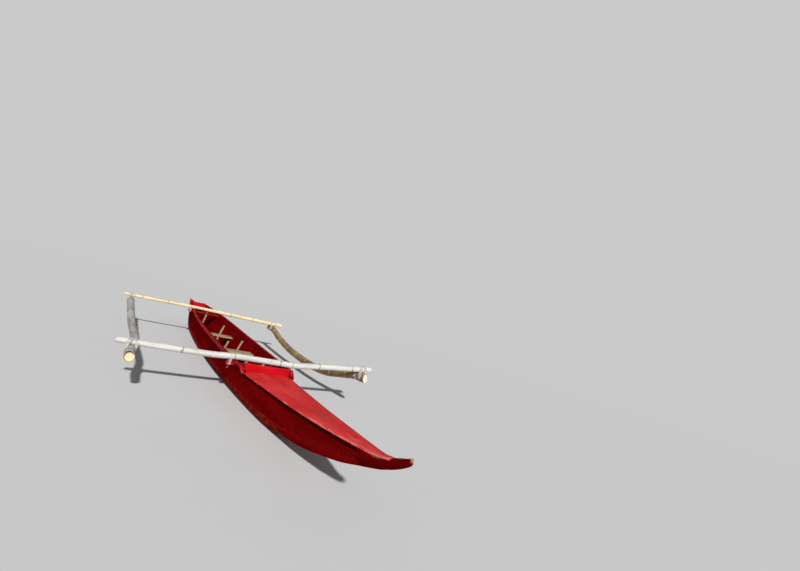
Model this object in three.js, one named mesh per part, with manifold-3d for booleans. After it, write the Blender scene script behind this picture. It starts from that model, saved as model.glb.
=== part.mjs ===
// A double-outrigger canoe: a planked hull on a hollowed base log, two bamboo booms
// lashed across its gunwales, and a pole float lashed under the boom ends on each side.
// Millimetres. In the working frame x runs forward from the forward boom, y to port,
// and z up from the underside of the keel.
import * as THREE from 'three';
import { mergeVertices } from 'three/addons/utils/BufferGeometryUtils.js';
import Module from 'manifold-3d';

const wasm = await Module();
wasm.setup();

// Driving dimensions of the hull.
const FIT_GAP = 0.3;
const RAIL_GAP = 0.9;
const BASE_SIDE = 16;
const BASE_FLOOR = 24;
const BASE_SIDE_SHARE = 0.6;
const BASE_SLIT = 2;
const PLANK = 14;
const DECK_THICK = 12;
const DECK_CROWN = 6;
const FULL_CROWN_HALF = 100;
const DECK_MARGIN = 18;
const RAIL_WIDE = 28;
const RAIL_TALL = 22;
const STEM_START = 2150;
const STERN_START = -5100;
const FOREDECK_AFT = 200;
const AFTDECK_FORE = -4400;
const WASH_FORE = 290;
const WASH_AFT = -5000;
const WASH_AFT_LEVEL = -4700;
const WASH_TIP_RISE = 10;
const COAMING_THICK = 20;
const COAMING_PROUD = 24;
const FORE_BOOM_X = 0;
const AFT_BOOM_X = -3450;

// Hull sections from stern to bow. Half-widths are measured from the centreline, and the
// bilge and seam heights from the keel at that section.
const SECTION_COLUMNS = ['x', 'keelZ', 'keelHalf', 'bilgeHalf', 'bilgeUp', 'seamHalf', 'seamUp',
  'deckHalf', 'deckZ', 'topHalf', 'topZ'];
const SECTION_TABLE = [
  [-5100, 205, 12, 22, 18, 34, 50, 54, 455, 62, 530],
  [-4800, 110, 25, 45, 24, 62, 68, 86, 443, 100, 523],
  [-4400, 35, 46, 76, 29, 97, 84, 124, 430, 141, 512],
  [-3450, 0, 88, 136, 33, 162, 95, 205, 400, 222, 485],
  [-2300, 0, 116, 180, 35, 212, 100, 262, 365, 278, 441],
  [-1200, 0, 120, 187, 35, 222, 100, 279, 345, 292, 413],
  [-450, 0, 106, 166, 35, 203, 100, 273, 340, 287, 402],
  [0, 0, 92, 147, 35, 183, 100, 262, 342, 275, 400],
  [200, 0, 85, 137, 35, 171, 99, 250, 345, 259, 402],
  [440, 3, 76, 122, 34, 153, 96, 231, 350, 238, 404],
  [630, 12, 68, 110, 33, 138, 93, 212, 356, 219, 406],
  [1260, 85, 38, 64, 28, 85, 78, 162, 378, 165, 410],
  [1890, 230, 15, 27, 20, 40, 54, 97, 416, 99, 430],
  [2150, 320, 9, 16, 14, 25, 38, 60, 438, 62, 450],
];
const STATION_STEP = 290;

// The planks are too long for one board, so each is made of lengths that meet end to end.
const SIDE_PLANK_ENDS = [-5100, -2875, -287.5, 2150];
const STRAKE_ENDS = [-5000, -3162.5, -1437.5, 290];
const RAIL_ENDS = [-5000, -2012.5, 290];
const THREE_LENGTHS = ['aft', 'middle', 'fore'];
const TWO_LENGTHS = ['aft', 'fore'];

// The bow ends in a short blunt knob and the stern in a plain sloping post. Each row is one
// full section of the block: x, bottom z, top z, half-width at the bottom and at the top.
const STEM_BLOCK = [
  [2280, 366, 440, 6, 41],
  [2335, 388, 452.5, 7, 34],
  [2390, 414, 465, 9, 27],
  [2394, 415.5, 477, 10, 26],
  [2470, 456, 513, 12, 20],
  [2505, 479, 528, 12, 18],
  [2530, 497, 540, 11, 16],
  [2546, 514, 531, 9, 12],
];
const STERN_BLOCK = [
  [-5300, 288, 458, 9, 39],
  [-5480, 380, 470, 8, 25],
  [-5590, 448, 480, 8, 17],
  [-5640, 478, 496, 7, 11],
];
const STEM_DECK_ROWS = 3;
const STERN_DECK_ROWS = 2;
const POST_BILGE_UP = 0.3;
const POST_BILGE_OUT = 0.45;

// Ribs stand inside the hull, and two of them carry the seats.
const RIB_WIDE = 24;
const RIB_DEEP = 26;
const RIB_CLEAR = 0.7;
const RIB_BILGE_SHARE = 0.7;
const RIBS = [
  { name: 'rib_1', x: -560, seat: false },
  { name: 'rib_2', x: -1200, seat: true },
  { name: 'rib_3', x: -1780, seat: false },
  { name: 'rib_4', x: -2300, seat: true },
  { name: 'rib_5', x: -2900, seat: false },
  { name: 'rib_6', x: -3980, seat: false },
];
const SEAT_Z = 262;
const SEAT_LONG = 190;
const SEAT_THICK = 18;
const SEAT_END_GAP = 1;

// A beam crosses the hull under each boom, notched through the top strakes.
const BEAM_WIDE = 44;
const BEAM_TALL = 30;
const BEAM_PROUD = 62;

// The booms are single bamboo poles, thin at the starboard tip and thick to port. Each row is
// a point of the centreline with the pole's radius there: x, y, z, r.
const FORE_BOOM_LINE = [
  [-21, -1302, 420, 27],
  [-14, -900, 417, 29],
  [-7, -560, 418, 30.2],
  [-4, -420, 425, 31],
  [0, -286, 433.3, 31.4],
  [6, 0, 433.2, 32.3],
  [12, 286, 433.2, 33],
  [18, 700, 473, 34.5],
  [27, 1407, 530.5, 35],
];
const AFT_BOOM_LINE = [
  [-3474, -1276, 489, 20],
  [-3466, -1000, 493, 25],
  [-3450, -236, 513.7, 27],
  [-3443, 236, 517.8, 31],
  [-3415, 1402, 523, 38],
];
const BOOM_SIDES = 16;
const BOOM_STEP = 130;
const FORE_BOOM_JOINTS = [-1190, -780, -300, 190, 660, 1110];
const AFT_BOOM_JOINTS = [-1020, -640, -90, 400, 810, 1180];
const JOINT_SWELL = 1.05;
const JOINT_HALF = 7;
const BOOM_WALL = 7;
const BOOM_HOLLOW = 34;

// The floats are crooked poles. Their heights at the boom crossings are worked out from the
// booms, so the rows give x, y, the drop below a straight line between the crossings, and r.
const STARBOARD_FLOAT_LINE = [
  [313, -1190, -22, 43],
  [0, -1177, 0, 41],
  [-240, -1154, -4, 39],
  [-470, -1139, -4, 38],
  [-700, -1141, -1, 38],
  [-1250, -1157, 6, 39],
  [-2200, -1162, 10, 43],
  [-3474, -1167, 0, 49],
  [-3640, -1168, 2, 49],
];
const PORT_FLOAT_LINE = [
  [140, 1276, -6, 54],
  [0, 1266, 0, 54],
  [-400, 1256, 82, 54],
  [-890, 1250, 182, 53],
  [-1400, 1242, 210, 53],
  [-2100, 1238, 190, 52],
  [-2900, 1236, 95, 51],
  [-3418, 1236, 0, 50],
  [-3580, 1236, 6, 50],
];
const PORT_FLOAT_JOINTS = [-3180, -2760, -2310, -1890, -1480, -1060, -660, -250];
const NO_JOINTS = [];
const FLOAT_SIDES = 16;
const FLOAT_STEP = 150;
const FLOAT_WALL = 9;
const FLOAT_HOLLOW = 30;
const SHORTEST_STEP = 3;
const CROSSING_GAP = 0.7;
const STARBOARD_CROSSING = -3474;
const PORT_CROSSING = -3418;

// Cord windings, each drawn as one band as wide as the turns it stands for.
const CORD_THICK = 3;
const GUNWALE_BAND = 30;
const FLOAT_BAND = 22;
const BAND_POINTS = 20;
const WELD = 1e-4;

const PAINT = {
  hullRed: { color: 0x8e1014, roughness: 0.5, metalness: 0 },
  deckRed: { color: 0xc0282c, roughness: 0.62, metalness: 0 },
  railRed: { color: 0xb02228, roughness: 0.55, metalness: 0 },
  bareWood: { color: 0x7a5b3c, roughness: 0.8, metalness: 0 },
  whiteBamboo: { color: 0xdedad2, roughness: 0.55, metalness: 0 },
  yellowBamboo: { color: 0xc9a25a, roughness: 0.5, metalness: 0 },
  greyPole: { color: 0x8b8a86, roughness: 0.85, metalness: 0 },
  brownBamboo: { color: 0x9a7448, roughness: 0.6, metalness: 0 },
  cord: { color: 0xd8d5cc, roughness: 0.9, metalness: 0 },
};

// A smooth curve through a column of a table, kept free of overshoot.
function smoothColumn(rows, column, x) {
  const last = rows.length - 1;
  let i = 0;
  while (i < last - 1 && x > rows[i + 1][0]) {
    i += 1;
  }
  const slope = (a, b) => (rows[b][column] - rows[a][column]) / (rows[b][0] - rows[a][0]);
  const tangent = (k) => {
    if (k === 0) return slope(0, 1);
    if (k === last) return slope(last - 1, last);
    const before = slope(k - 1, k);
    const after = slope(k, k + 1);
    return before * after <= 0 ? 0 : (2 * before * after) / (before + after);
  };
  const span = rows[i + 1][0] - rows[i][0];
  const t = (x - rows[i][0]) / span;
  const a = rows[i][column];
  const b = rows[i + 1][column];
  const h = t * t * (3 - 2 * t);
  return a + (b - a) * h + span * t * (1 - t) * ((1 - t) * tangent(i) - t * tangent(i + 1));
}

// The hull's stations: the ends of every piece, and evenly spaced sections between them.
const STATIONS = makeStations();

function makeStations() {
  const fixed = [STERN_START, WASH_AFT, AFTDECK_FORE, AFT_BOOM_X, FORE_BOOM_X, FOREDECK_AFT,
    WASH_FORE, STEM_START];
  const list = [];
  for (let i = 0; i < fixed.length - 1; i += 1) {
    const span = fixed[i + 1] - fixed[i];
    const count = Math.max(1, Math.round(span / STATION_STEP));
    for (let k = 0; k < count; k += 1) {
      list.push(fixed[i] + (span * k) / count);
    }
  }
  list.push(fixed[fixed.length - 1]);
  return list.map((x) => {
    const section = {};
    SECTION_COLUMNS.forEach((name, column) => {
      section[name] = column === 0 ? x : smoothColumn(SECTION_TABLE, column, x);
    });
    return section;
  });
}

// The planks run straight from station to station, and so does every section between.
function hullAt(x) {
  let i = 0;
  while (i < STATIONS.length - 2 && x > STATIONS[i + 1].x) {
    i += 1;
  }
  const a = STATIONS[i];
  const b = STATIONS[i + 1];
  const t = (x - a.x) / (b.x - a.x);
  const section = {};
  SECTION_COLUMNS.forEach((name) => {
    section[name] = a[name] + (b[name] - a[name]) * t;
  });
  return section;
}

function nearestStation(x) {
  const xs = STATIONS.map((s) => s.x);
  return xs.reduce((best, at) => (Math.abs(at - x) < Math.abs(best - x) ? at : best));
}

function stationsBetween(from, to) {
  const inside = STATIONS.filter((s) => s.x > from + 1 && s.x < to - 1);
  return [hullAt(from), ...inside, hullAt(to)];
}

// A closed solid through rings of points, each ring anticlockwise seen from ahead of the last.
function loftSolid(rings) {
  const sides = rings[0].length;
  const positions = [];
  rings.forEach((ring) => ring.forEach((p) => positions.push(p[0], p[1], p[2])));
  const index = [];
  for (let i = 0; i < rings.length - 1; i += 1) {
    for (let k = 0; k < sides; k += 1) {
      const a = i * sides + k;
      const b = i * sides + ((k + 1) % sides);
      index.push(a, b, b + sides, a, b + sides, a + sides);
    }
  }
  addCap(index, rings[0], 0, true);
  addCap(index, rings[rings.length - 1], (rings.length - 1) * sides, false);
  const geometry = new THREE.BufferGeometry();
  geometry.setAttribute('position', new THREE.Float32BufferAttribute(positions, 3));
  geometry.setIndex(index);
  return outward(geometry);
}

// An end face, triangulated in the plane that shows it best, and turned as its ring runs.
function addCap(index, ring, offset, flip) {
  const normal = new THREE.Vector3();
  ring.forEach((p, k) => {
    const q = ring[(k + 1) % ring.length];
    normal.x += (p[1] - q[1]) * (p[2] + q[2]);
    normal.y += (p[2] - q[2]) * (p[0] + q[0]);
    normal.z += (p[0] - q[0]) * (p[1] + q[1]);
  });
  const size = [Math.abs(normal.x), Math.abs(normal.y), Math.abs(normal.z)];
  const drop = size.indexOf(Math.max(...size));
  const u = (drop + 1) % 3;
  const v = (drop + 2) % 3;
  const flat = ring.map((p) => new THREE.Vector2(p[u], p[v]));
  const ringTurn = Math.sign(THREE.ShapeUtils.area(flat));
  THREE.ShapeUtils.triangulateShape(flat, []).forEach((face) => {
    const faceTurn = Math.sign(THREE.ShapeUtils.area(face.map((k) => flat[k])));
    const [a, b, c] = faceTurn === ringTurn ? face : [face[2], face[1], face[0]];
    if (flip) index.push(offset + c, offset + b, offset + a);
    else index.push(offset + a, offset + b, offset + c);
  });
}

// Turns a closed geometry's faces outward if its volume comes out negative.
function outward(geometry) {
  const p = geometry.getAttribute('position');
  const idx = geometry.getIndex().array;
  const a = new THREE.Vector3();
  const b = new THREE.Vector3();
  const c = new THREE.Vector3();
  let volume = 0;
  for (let i = 0; i < idx.length; i += 3) {
    a.fromBufferAttribute(p, idx[i]);
    b.fromBufferAttribute(p, idx[i + 1]);
    c.fromBufferAttribute(p, idx[i + 2]);
    volume += a.dot(b.clone().cross(c));
  }
  if (volume < 0) {
    const turned = Array.from(idx);
    for (let i = 0; i < turned.length; i += 3) {
      [turned[i + 1], turned[i + 2]] = [turned[i + 2], turned[i + 1]];
    }
    geometry.setIndex(turned);
  }
  return geometry;
}

function toSolid(geometry) {
  const bare = new THREE.BufferGeometry();
  const source = geometry.index ? geometry : mergeVertices(geometry);
  bare.setAttribute('position', source.getAttribute('position').clone());
  bare.setIndex(source.index);
  const merged = mergeVertices(bare, WELD);
  return new wasm.Manifold(new wasm.Mesh({
    numProp: 3,
    vertProperties: new Float32Array(merged.getAttribute('position').array),
    triVerts: new Uint32Array(merged.index.array),
  }));
}

function toGeometry(solid) {
  const mesh = solid.getMesh();
  const geometry = new THREE.BufferGeometry();
  geometry.setAttribute('position', new THREE.BufferAttribute(mesh.vertProperties, 3));
  geometry.setIndex(Array.from(mesh.triVerts));
  return geometry;
}

function boxBetween(low, high) {
  const geometry = new THREE.BoxGeometry(high[0] - low[0], high[1] - low[1], high[2] - low[2]);
  geometry.deleteAttribute('normal');
  geometry.deleteAttribute('uv');
  geometry.translate((high[0] + low[0]) / 2, (high[1] + low[1]) / 2, (high[2] + low[2]) / 2);
  return mergeVertices(geometry);
}

const canoe = new THREE.Group();

function addPiece(name, geometry, paint) {
  const mesh = new THREE.Mesh(geometry, new THREE.MeshStandardMaterial(PAINT[paint]));
  mesh.name = name;
  canoe.add(mesh);
}

// Half of a section's outline, from the seam down to the keel, as [y, z] pairs.
function baseOutline(s, side, floor) {
  const lift = floor / 2;
  return [
    [s.seamHalf - side, s.keelZ + s.seamUp],
    [s.bilgeHalf - side, s.keelZ + s.bilgeUp + lift],
    [s.keelHalf - side / 2, s.keelZ + floor],
  ];
}

// The base log: a hollowed bottom that carries the planks. Near the ends its wall thins, so
// that a narrow hollow is left.
function makeBase() {
  const rings = stationsBetween(STERN_START, STEM_START).map((s) => {
    const side = Math.min(BASE_SIDE, s.seamHalf * BASE_SIDE_SHARE);
    const outer = baseOutline(s, 0, 0);
    const inner = baseOutline(s, side, BASE_FLOOR).map(([y, z]) => [Math.max(y, BASE_SLIT), z]);
    const port = outer.map(([y, z]) => [s.x, y, z]);
    const starboard = outer.map(([y, z]) => [s.x, -y, z]).reverse();
    const starboardIn = inner.map(([y, z]) => [s.x, -y, z]);
    const portIn = inner.map(([y, z]) => [s.x, y, z]).reverse();
    return [...port, ...starboard, ...starboardIn, ...portIn];
  });
  addPiece('hull_base', loftSolid(rings), 'hullRed');
}

// A plank with a slanting section, from one edge line to another.
function plankRings(stations, edges, side) {
  return stations.map((s) => {
    const [low, high] = edges(s);
    return [
      [s.x, side * low[0], low[1]],
      [s.x, side * high[0], high[1]],
      [s.x, side * (high[0] - PLANK), high[1]],
      [s.x, side * (low[0] - PLANK), low[1]],
    ];
  });
}

function sidePlankEdges(s) {
  const low = [s.seamHalf, s.keelZ + s.seamUp + FIT_GAP];
  return [low, [s.deckHalf, s.deckZ - DECK_THICK]];
}

// Calls a maker once for each length of a long board, and leaves a gap where two lengths meet.
function eachLength(ends, words, make) {
  words.forEach((word, k) => {
    const from = ends[k] + (k > 0 ? FIT_GAP : 0);
    make(word, from, ends[k + 1]);
  });
}

function makeSidePlank(name, side) {
  eachLength(SIDE_PLANK_ENDS, THREE_LENGTHS, (word, from, to) => {
    const rings = plankRings(stationsBetween(from, to), sidePlankEdges, side);
    addPiece(`${name}_${word}`, loftSolid(rings), 'hullRed');
  });
}

// How high the top strake stands: it slopes down to the deck at both ends.
function washTop(s) {
  const foreSlope = (WASH_FORE - s.x) / (WASH_FORE - FOREDECK_AFT);
  const aftSlope = (s.x - WASH_AFT) / (WASH_AFT_LEVEL - WASH_AFT);
  const share = THREE.MathUtils.clamp(Math.min(foreSlope, aftSlope), 0, 1);
  const low = s.deckZ + WASH_TIP_RISE;
  return low + (s.topZ - low) * share;
}

function washHalfAt(s, z) {
  const lowest = s.deckZ - DECK_THICK;
  const rise = Math.max(0, z - lowest) / (s.topZ - lowest);
  return s.deckHalf + (s.topHalf - s.deckHalf) * rise;
}

function washEdges(onDeck) {
  return (s) => {
    const lowZ = onDeck ? s.deckZ + FIT_GAP : s.deckZ - DECK_THICK + FIT_GAP;
    const highZ = washTop(s);
    return [[washHalfAt(s, lowZ), lowZ], [washHalfAt(s, highZ), highZ]];
  };
}

// The top strake stands on the side plank, and on the decks' edges beyond the coamings. It is
// notched where a beam passes through.
function makeWashStrake(name, side) {
  const parts = [
    { from: WASH_AFT, to: AFTDECK_FORE, onDeck: true },
    { from: AFTDECK_FORE, to: FOREDECK_AFT, onDeck: false },
    { from: FOREDECK_AFT, to: WASH_FORE, onDeck: true },
  ];
  eachLength(STRAKE_ENDS, THREE_LENGTHS, (word, from, to) => {
    const solids = parts
      .filter((part) => part.from < to && part.to > from)
      .map((part) => {
        const stations = stationsBetween(Math.max(from, part.from), Math.min(to, part.to));
        return toSolid(loftSolid(plankRings(stations, washEdges(part.onDeck), side)));
      });
    let strake = solids.reduce((sum, solid) => sum.add(solid));
    [FORE_BOOM_X, AFT_BOOM_X].forEach((x) => {
      strake = strake.subtract(toSolid(beamBox(x, FIT_GAP)));
    });
    addPiece(`${name}_${word}`, toGeometry(strake), 'hullRed');
  });
}

function railRing(s, side) {
  const highZ = washTop(s);
  const lowZ = highZ - RAIL_TALL;
  const inLow = washHalfAt(s, lowZ) + RAIL_GAP;
  const inHigh = washHalfAt(s, highZ) + RAIL_GAP;
  const outer = inHigh + RAIL_WIDE;
  return [
    [s.x, side * inLow, lowZ],
    [s.x, side * outer, lowZ],
    [s.x, side * outer, highZ],
    [s.x, side * inHigh, highZ],
  ];
}

function makeRail(name, side) {
  eachLength(RAIL_ENDS, TWO_LENGTHS, (word, from, to) => {
    const rings = stationsBetween(from, to).map((s) => railRing(s, side));
    addPiece(`${name}_${word}`, loftSolid(rings), 'railRed');
  });
}

// The crown fades where the deck gets narrow.
function crownAt(half) {
  return DECK_CROWN * Math.min(1, half / FULL_CROWN_HALF);
}

// A crowned deck lies on the side planks' top edges and over the post at its end. Its margin
// is flat, so that the top strakes and coamings stand on it.
function deckRing(x, half, z) {
  const low = z - DECK_THICK + FIT_GAP;
  const margin = Math.max(half - DECK_MARGIN, half / 2);
  return [
    [x, half, low],
    [x, half, z],
    [x, margin, z],
    [x, 0, z + crownAt(half)],
    [x, -margin, z],
    [x, -half, z],
    [x, -half, low],
  ];
}

function makeForedeck() {
  const rings = stationsBetween(FOREDECK_AFT + FIT_GAP, STEM_START)
    .map((s) => deckRing(s.x, s.deckHalf, s.deckZ));
  addPiece('foredeck', loftSolid([...rings, ...postDeckRings(STEM_BLOCK, STEM_DECK_ROWS)]), 'deckRed');
}

// The deck runs on over the first rows of the post.
function postDeckRings(rows, count) {
  return rows.slice(0, count)
    .map(([x, , topZ, , topHalf]) => deckRing(x, topHalf, topZ + DECK_THICK));
}

function makeAftdeck() {
  const rings = stationsBetween(STERN_START, AFTDECK_FORE - FIT_GAP)
    .map((s) => deckRing(s.x, s.deckHalf, s.deckZ));
  const overPost = postDeckRings(STERN_BLOCK, STERN_DECK_ROWS).reverse();
  addPiece('aftdeck', loftSolid([...overPost, ...rings]), 'deckRed');
}

// The solid post at an end: it butts against the base and planks, and runs out to the tip.
function makePost(name, startX, direction, rows) {
  const s = hullAt(startX);
  const x = startX + direction * FIT_GAP;
  const first = [x, s.keelZ, s.deckZ - DECK_THICK, s.keelHalf, s.deckHalf];
  const rings = [first, ...rows].map(([px, lowZ, highZ, lowHalf, highHalf]) => {
    const midZ = lowZ + (highZ - lowZ) * POST_BILGE_UP;
    const midHalf = lowHalf + (highHalf - lowHalf) * POST_BILGE_OUT;
    return [
      [px, lowHalf, lowZ], [px, midHalf, midZ], [px, highHalf, highZ],
      [px, -highHalf, highZ], [px, -midHalf, midZ], [px, -lowHalf, lowZ],
    ];
  });
  addPiece(name, loftSolid(rings), 'hullRed');
}

// A board across the deck's open edge, between the top strakes, cut to the deck's crown. It
// stands a little above the strakes.
function makeCoaming(name, fromX, direction) {
  const rings = [fromX, fromX + direction * COAMING_THICK].map((x) => {
    const s = hullAt(x);
    const low = s.deckZ + 2 * FIT_GAP;
    const half = washHalfAt(s, s.deckZ) - PLANK - 2 * FIT_GAP;
    const margin = s.deckHalf - DECK_MARGIN;
    const high = s.topZ + COAMING_PROUD;
    return [
      [x, half, low], [x, half, high], [x, -half, high], [x, -half, low],
      [x, -margin, low], [x, 0, low + crownAt(s.deckHalf)], [x, margin, low],
    ];
  });
  addPiece(name, loftSolid(rings), 'deckRed');
}

// A rib lines the hull from one plank's edge, across the floor, to the other.
function ribOutline(s, topZ, depth) {
  const side = PLANK + RIB_CLEAR + depth;
  const base = BASE_SIDE + RIB_CLEAR + depth;
  const seamZ = s.keelZ + s.seamUp;
  const t = (topZ - seamZ) / (s.deckZ - DECK_THICK - seamZ);
  const topHalf = s.seamHalf + (s.deckHalf - s.seamHalf) * t;
  const bilgeZ = s.keelZ + s.bilgeUp + BASE_FLOOR / 2 + RIB_CLEAR + depth * RIB_BILGE_SHARE;
  const floorZ = s.keelZ + BASE_FLOOR + RIB_CLEAR + depth;
  return [
    [topHalf - side, topZ],
    [s.seamHalf - base, seamZ],
    [s.bilgeHalf - base, bilgeZ],
    [s.keelHalf - BASE_SIDE / 2 - depth / 3, floorZ],
  ];
}

function makeRib({ name, x, seat }) {
  const middle = nearestStation(x);
  const rings = [middle - RIB_WIDE / 2, middle + RIB_WIDE / 2].map((px) => {
    const s = hullAt(px);
    const topZ = seat ? SEAT_Z : s.deckZ - DECK_THICK;
    const outer = ribOutline(s, topZ, 0);
    const inner = ribOutline(s, topZ, RIB_DEEP);
    const at = (sign) => ([y, z]) => [px, sign * y, z];
    return [
      ...outer.map(at(1)),
      ...outer.map(at(-1)).reverse(),
      ...inner.map(at(-1)),
      ...inner.map(at(1)).reverse(),
    ];
  });
  addPiece(name, loftSolid(rings), 'bareWood');
}

function makeSeat(name, x) {
  const middle = nearestStation(x);
  const rings = [middle - SEAT_LONG / 2, middle + SEAT_LONG / 2].map((px) => {
    const s = hullAt(px);
    const seamZ = s.keelZ + s.seamUp;
    const t = (SEAT_Z - seamZ) / (s.deckZ - DECK_THICK - seamZ);
    const half = s.seamHalf + (s.deckHalf - s.seamHalf) * t - PLANK - SEAT_END_GAP;
    const low = SEAT_Z + FIT_GAP;
    return [
      [px, half, low], [px, half, low + SEAT_THICK], [px, -half, low + SEAT_THICK], [px, -half, low],
    ];
  });
  addPiece(name, loftSolid(rings), 'bareWood');
}

// The beam's top lies under the lower side of the sloping rail.
function beamTopZ(x) {
  const lowest = Math.min(hullAt(x - BEAM_WIDE / 2).topZ, hullAt(x + BEAM_WIDE / 2).topZ);
  return lowest - RAIL_TALL - FIT_GAP;
}

function beamBox(x, swell) {
  const s = hullAt(x);
  const high = beamTopZ(x);
  const reach = s.topHalf + RAIL_WIDE + BEAM_PROUD;
  return boxBetween(
    [x - BEAM_WIDE / 2 - swell, -reach - swell, high - BEAM_TALL - swell],
    [x + BEAM_WIDE / 2 + swell, reach + swell, high + (swell > 0 ? FIT_GAP : 0)],
  );
}

// A point of a pole's centreline at y or x, read along the given coordinate.
function poleAt(rows, along, value) {
  const sorted = [...rows].sort((a, b) => a[along] - b[along]);
  const keyed = sorted.map((row) => [row[along], ...row]);
  const read = (column) => smoothColumn(keyed, column + 1, value);
  const point = [read(0), read(1), read(2)];
  point[along] = value;
  return { point: new THREE.Vector3(...point), r: read(3) };
}

// Where the rings of a pole stand: even steps, with a raised ring at each bamboo joint.
function poleStops(from, to, step, joints) {
  const stops = [];
  const count = Math.round((to - from) / step);
  for (let k = 0; k <= count; k += 1) {
    const at = from + ((to - from) * k) / count;
    if (joints.every((joint) => Math.abs(at - joint) > JOINT_HALF + SHORTEST_STEP)) {
      stops.push({ at, swell: 1 });
    }
  }
  joints.forEach((joint) => {
    stops.push({ at: joint - JOINT_HALF, swell: 1 });
    stops.push({ at: joint, swell: JOINT_SWELL });
    stops.push({ at: joint + JOINT_HALF, swell: 1 });
  });
  return stops.sort((a, b) => a.at - b.at);
}

const ALONG_X = 0;
const ALONG_Y = 1;
const BOOM = { along: ALONG_Y, sides: BOOM_SIDES, step: BOOM_STEP };
const FLOAT = { along: ALONG_X, sides: FLOAT_SIDES, step: FLOAT_STEP };

// One ring of a pole, square to x or y, with its radius changed by the given amount.
function poleRing(rows, { along, sides }, at, swell, extra) {
  const across = along === ALONG_X ? ALONG_Y : ALONG_X;
  const { point, r } = poleAt(rows, along, at);
  const ring = [];
  for (let k = 0; k < sides; k += 1) {
    const angle = (2 * Math.PI * (k + 0.5)) / sides;
    const p = point.toArray();
    p[across] += (r * swell + extra) * Math.cos(angle);
    p[2] += (r * swell + extra) * Math.sin(angle);
    ring.push(p);
  }
  return ring;
}

// A round pole through its centreline rows, thicker all over by the given amount.
function poleRings(rows, kind, joints, extra) {
  const low = Math.min(...rows.map((row) => row[kind.along]));
  const high = Math.max(...rows.map((row) => row[kind.along]));
  return poleStops(low, high, kind.step, joints)
    .map(({ at, swell }) => poleRing(rows, kind, at, swell, extra));
}

// A bamboo pole is hollow at its cut ends, as far in as the first wall inside it.
function makePole(name, rows, kind, joints, { wall, hollow }, paint) {
  const low = Math.min(...rows.map((row) => row[kind.along]));
  const high = Math.max(...rows.map((row) => row[kind.along]));
  const inside = (at) => poleRing(rows, kind, at, 1, -wall);
  const rings = [
    inside(low + hollow),
    inside(low),
    ...poleRings(rows, kind, joints, 0),
    inside(high),
    inside(high - hollow),
  ];
  addPiece(name, loftSolid(rings), paint);
}

const BOOM_END = { wall: BOOM_WALL, hollow: BOOM_HOLLOW };
const FLOAT_END = { wall: FLOAT_WALL, hollow: FLOAT_HOLLOW };

// A float's centreline: it hangs just under the booms at the two crossings, and the rows' drop
// is measured below the straight line between them.
function floatLine(rows, aftX) {
  const crossing = (boomRows, x) => {
    const y = poleAt(rows, ALONG_X, x).point.y;
    const boom = poleAt(boomRows, ALONG_Y, y);
    return boom.point.z - boom.r - poleAt(rows, ALONG_X, x).r - CROSSING_GAP;
  };
  const foreZ = crossing(FORE_BOOM_LINE, FORE_BOOM_X);
  const aftZ = crossing(AFT_BOOM_LINE, aftX);
  return rows.map(([x, y, drop, r]) => {
    const t = (FORE_BOOM_X - x) / (FORE_BOOM_X - aftX);
    return [x, y, foreZ + (aftZ - foreZ) * t - drop, r];
  });
}

// The tight outline round a set of points, as a convex hull.
function convexOutline(points) {
  const sorted = [...points].sort((a, b) => a.x - b.x || a.y - b.y);
  const turn = (o, a, b) => (a.x - o.x) * (b.y - o.y) - (a.y - o.y) * (b.x - o.x);
  const half = (list) => {
    const out = [];
    list.forEach((p) => {
      while (out.length > 1 && turn(out[out.length - 2], out[out.length - 1], p) <= 0) {
        out.pop();
      }
      out.push(p);
    });
    out.pop();
    return out;
  };
  return [...half(sorted), ...half(sorted.reverse())];
}

function ellipsePoints(centre, wide, tall) {
  const points = [];
  for (let k = 0; k < BAND_POINTS; k += 1) {
    const angle = (2 * Math.PI * k) / BAND_POINTS;
    const y = centre.x + wide * Math.cos(angle);
    points.push(new THREE.Vector2(y, centre.y + tall * Math.sin(angle)));
  }
  return points;
}

// A flat closed band round an outline, standing upright, turned about z and set at a point.
function bandSolid(shapes, width, turnZ, place) {
  const around = (grow) => convexOutline(shapes.flatMap((shape) => shape(grow)));
  const band = new THREE.Shape(around(CORD_THICK));
  band.holes.push(new THREE.Path(around(0).reverse()));
  const geometry = new THREE.ExtrudeGeometry(band, { depth: width, bevelEnabled: false, steps: 1 });
  geometry.translate(0, 0, -width / 2);
  geometry.rotateX(Math.PI / 2);
  geometry.rotateZ(turnZ);
  geometry.translate(place.x, place.y, 0);
  geometry.deleteAttribute('normal');
  geometry.deleteAttribute('uv');
  return toSolid(mergeVertices(geometry, WELD));
}

// Turns of cord that bind a boom down to the end of the beam under it.
function makeGunwaleLashing(name, { rows: boomRows, joints }, beamX, side) {
  const s = hullAt(beamX);
  const y = side * (s.topHalf + RAIL_WIDE + FIT_GAP + BEAM_PROUD / 2);
  const boom = poleAt(boomRows, ALONG_Y, y);
  const high = beamTopZ(beamX);
  const place = new THREE.Vector3(beamX, y, 0);
  const boomShape = (grow) => ellipsePoints(
    new THREE.Vector2(boom.point.x - beamX, boom.point.z), boom.r + grow, boom.r + grow);
  const beamShape = (grow) => [-1, 1].flatMap((k) => [
    new THREE.Vector2(k * (BEAM_WIDE / 2 + grow), high),
    new THREE.Vector2(k * (BEAM_WIDE / 2 + grow), high - BEAM_TALL - grow),
  ]);
  const band = bandSolid([boomShape, beamShape], GUNWALE_BAND, 0, place)
    .subtract(toSolid(loftSolid(poleRings(boomRows, BOOM, joints, FIT_GAP))))
    .subtract(toSolid(beamBox(beamX, FIT_GAP)));
  addPiece(name, toGeometry(band), 'cord');
}

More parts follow.
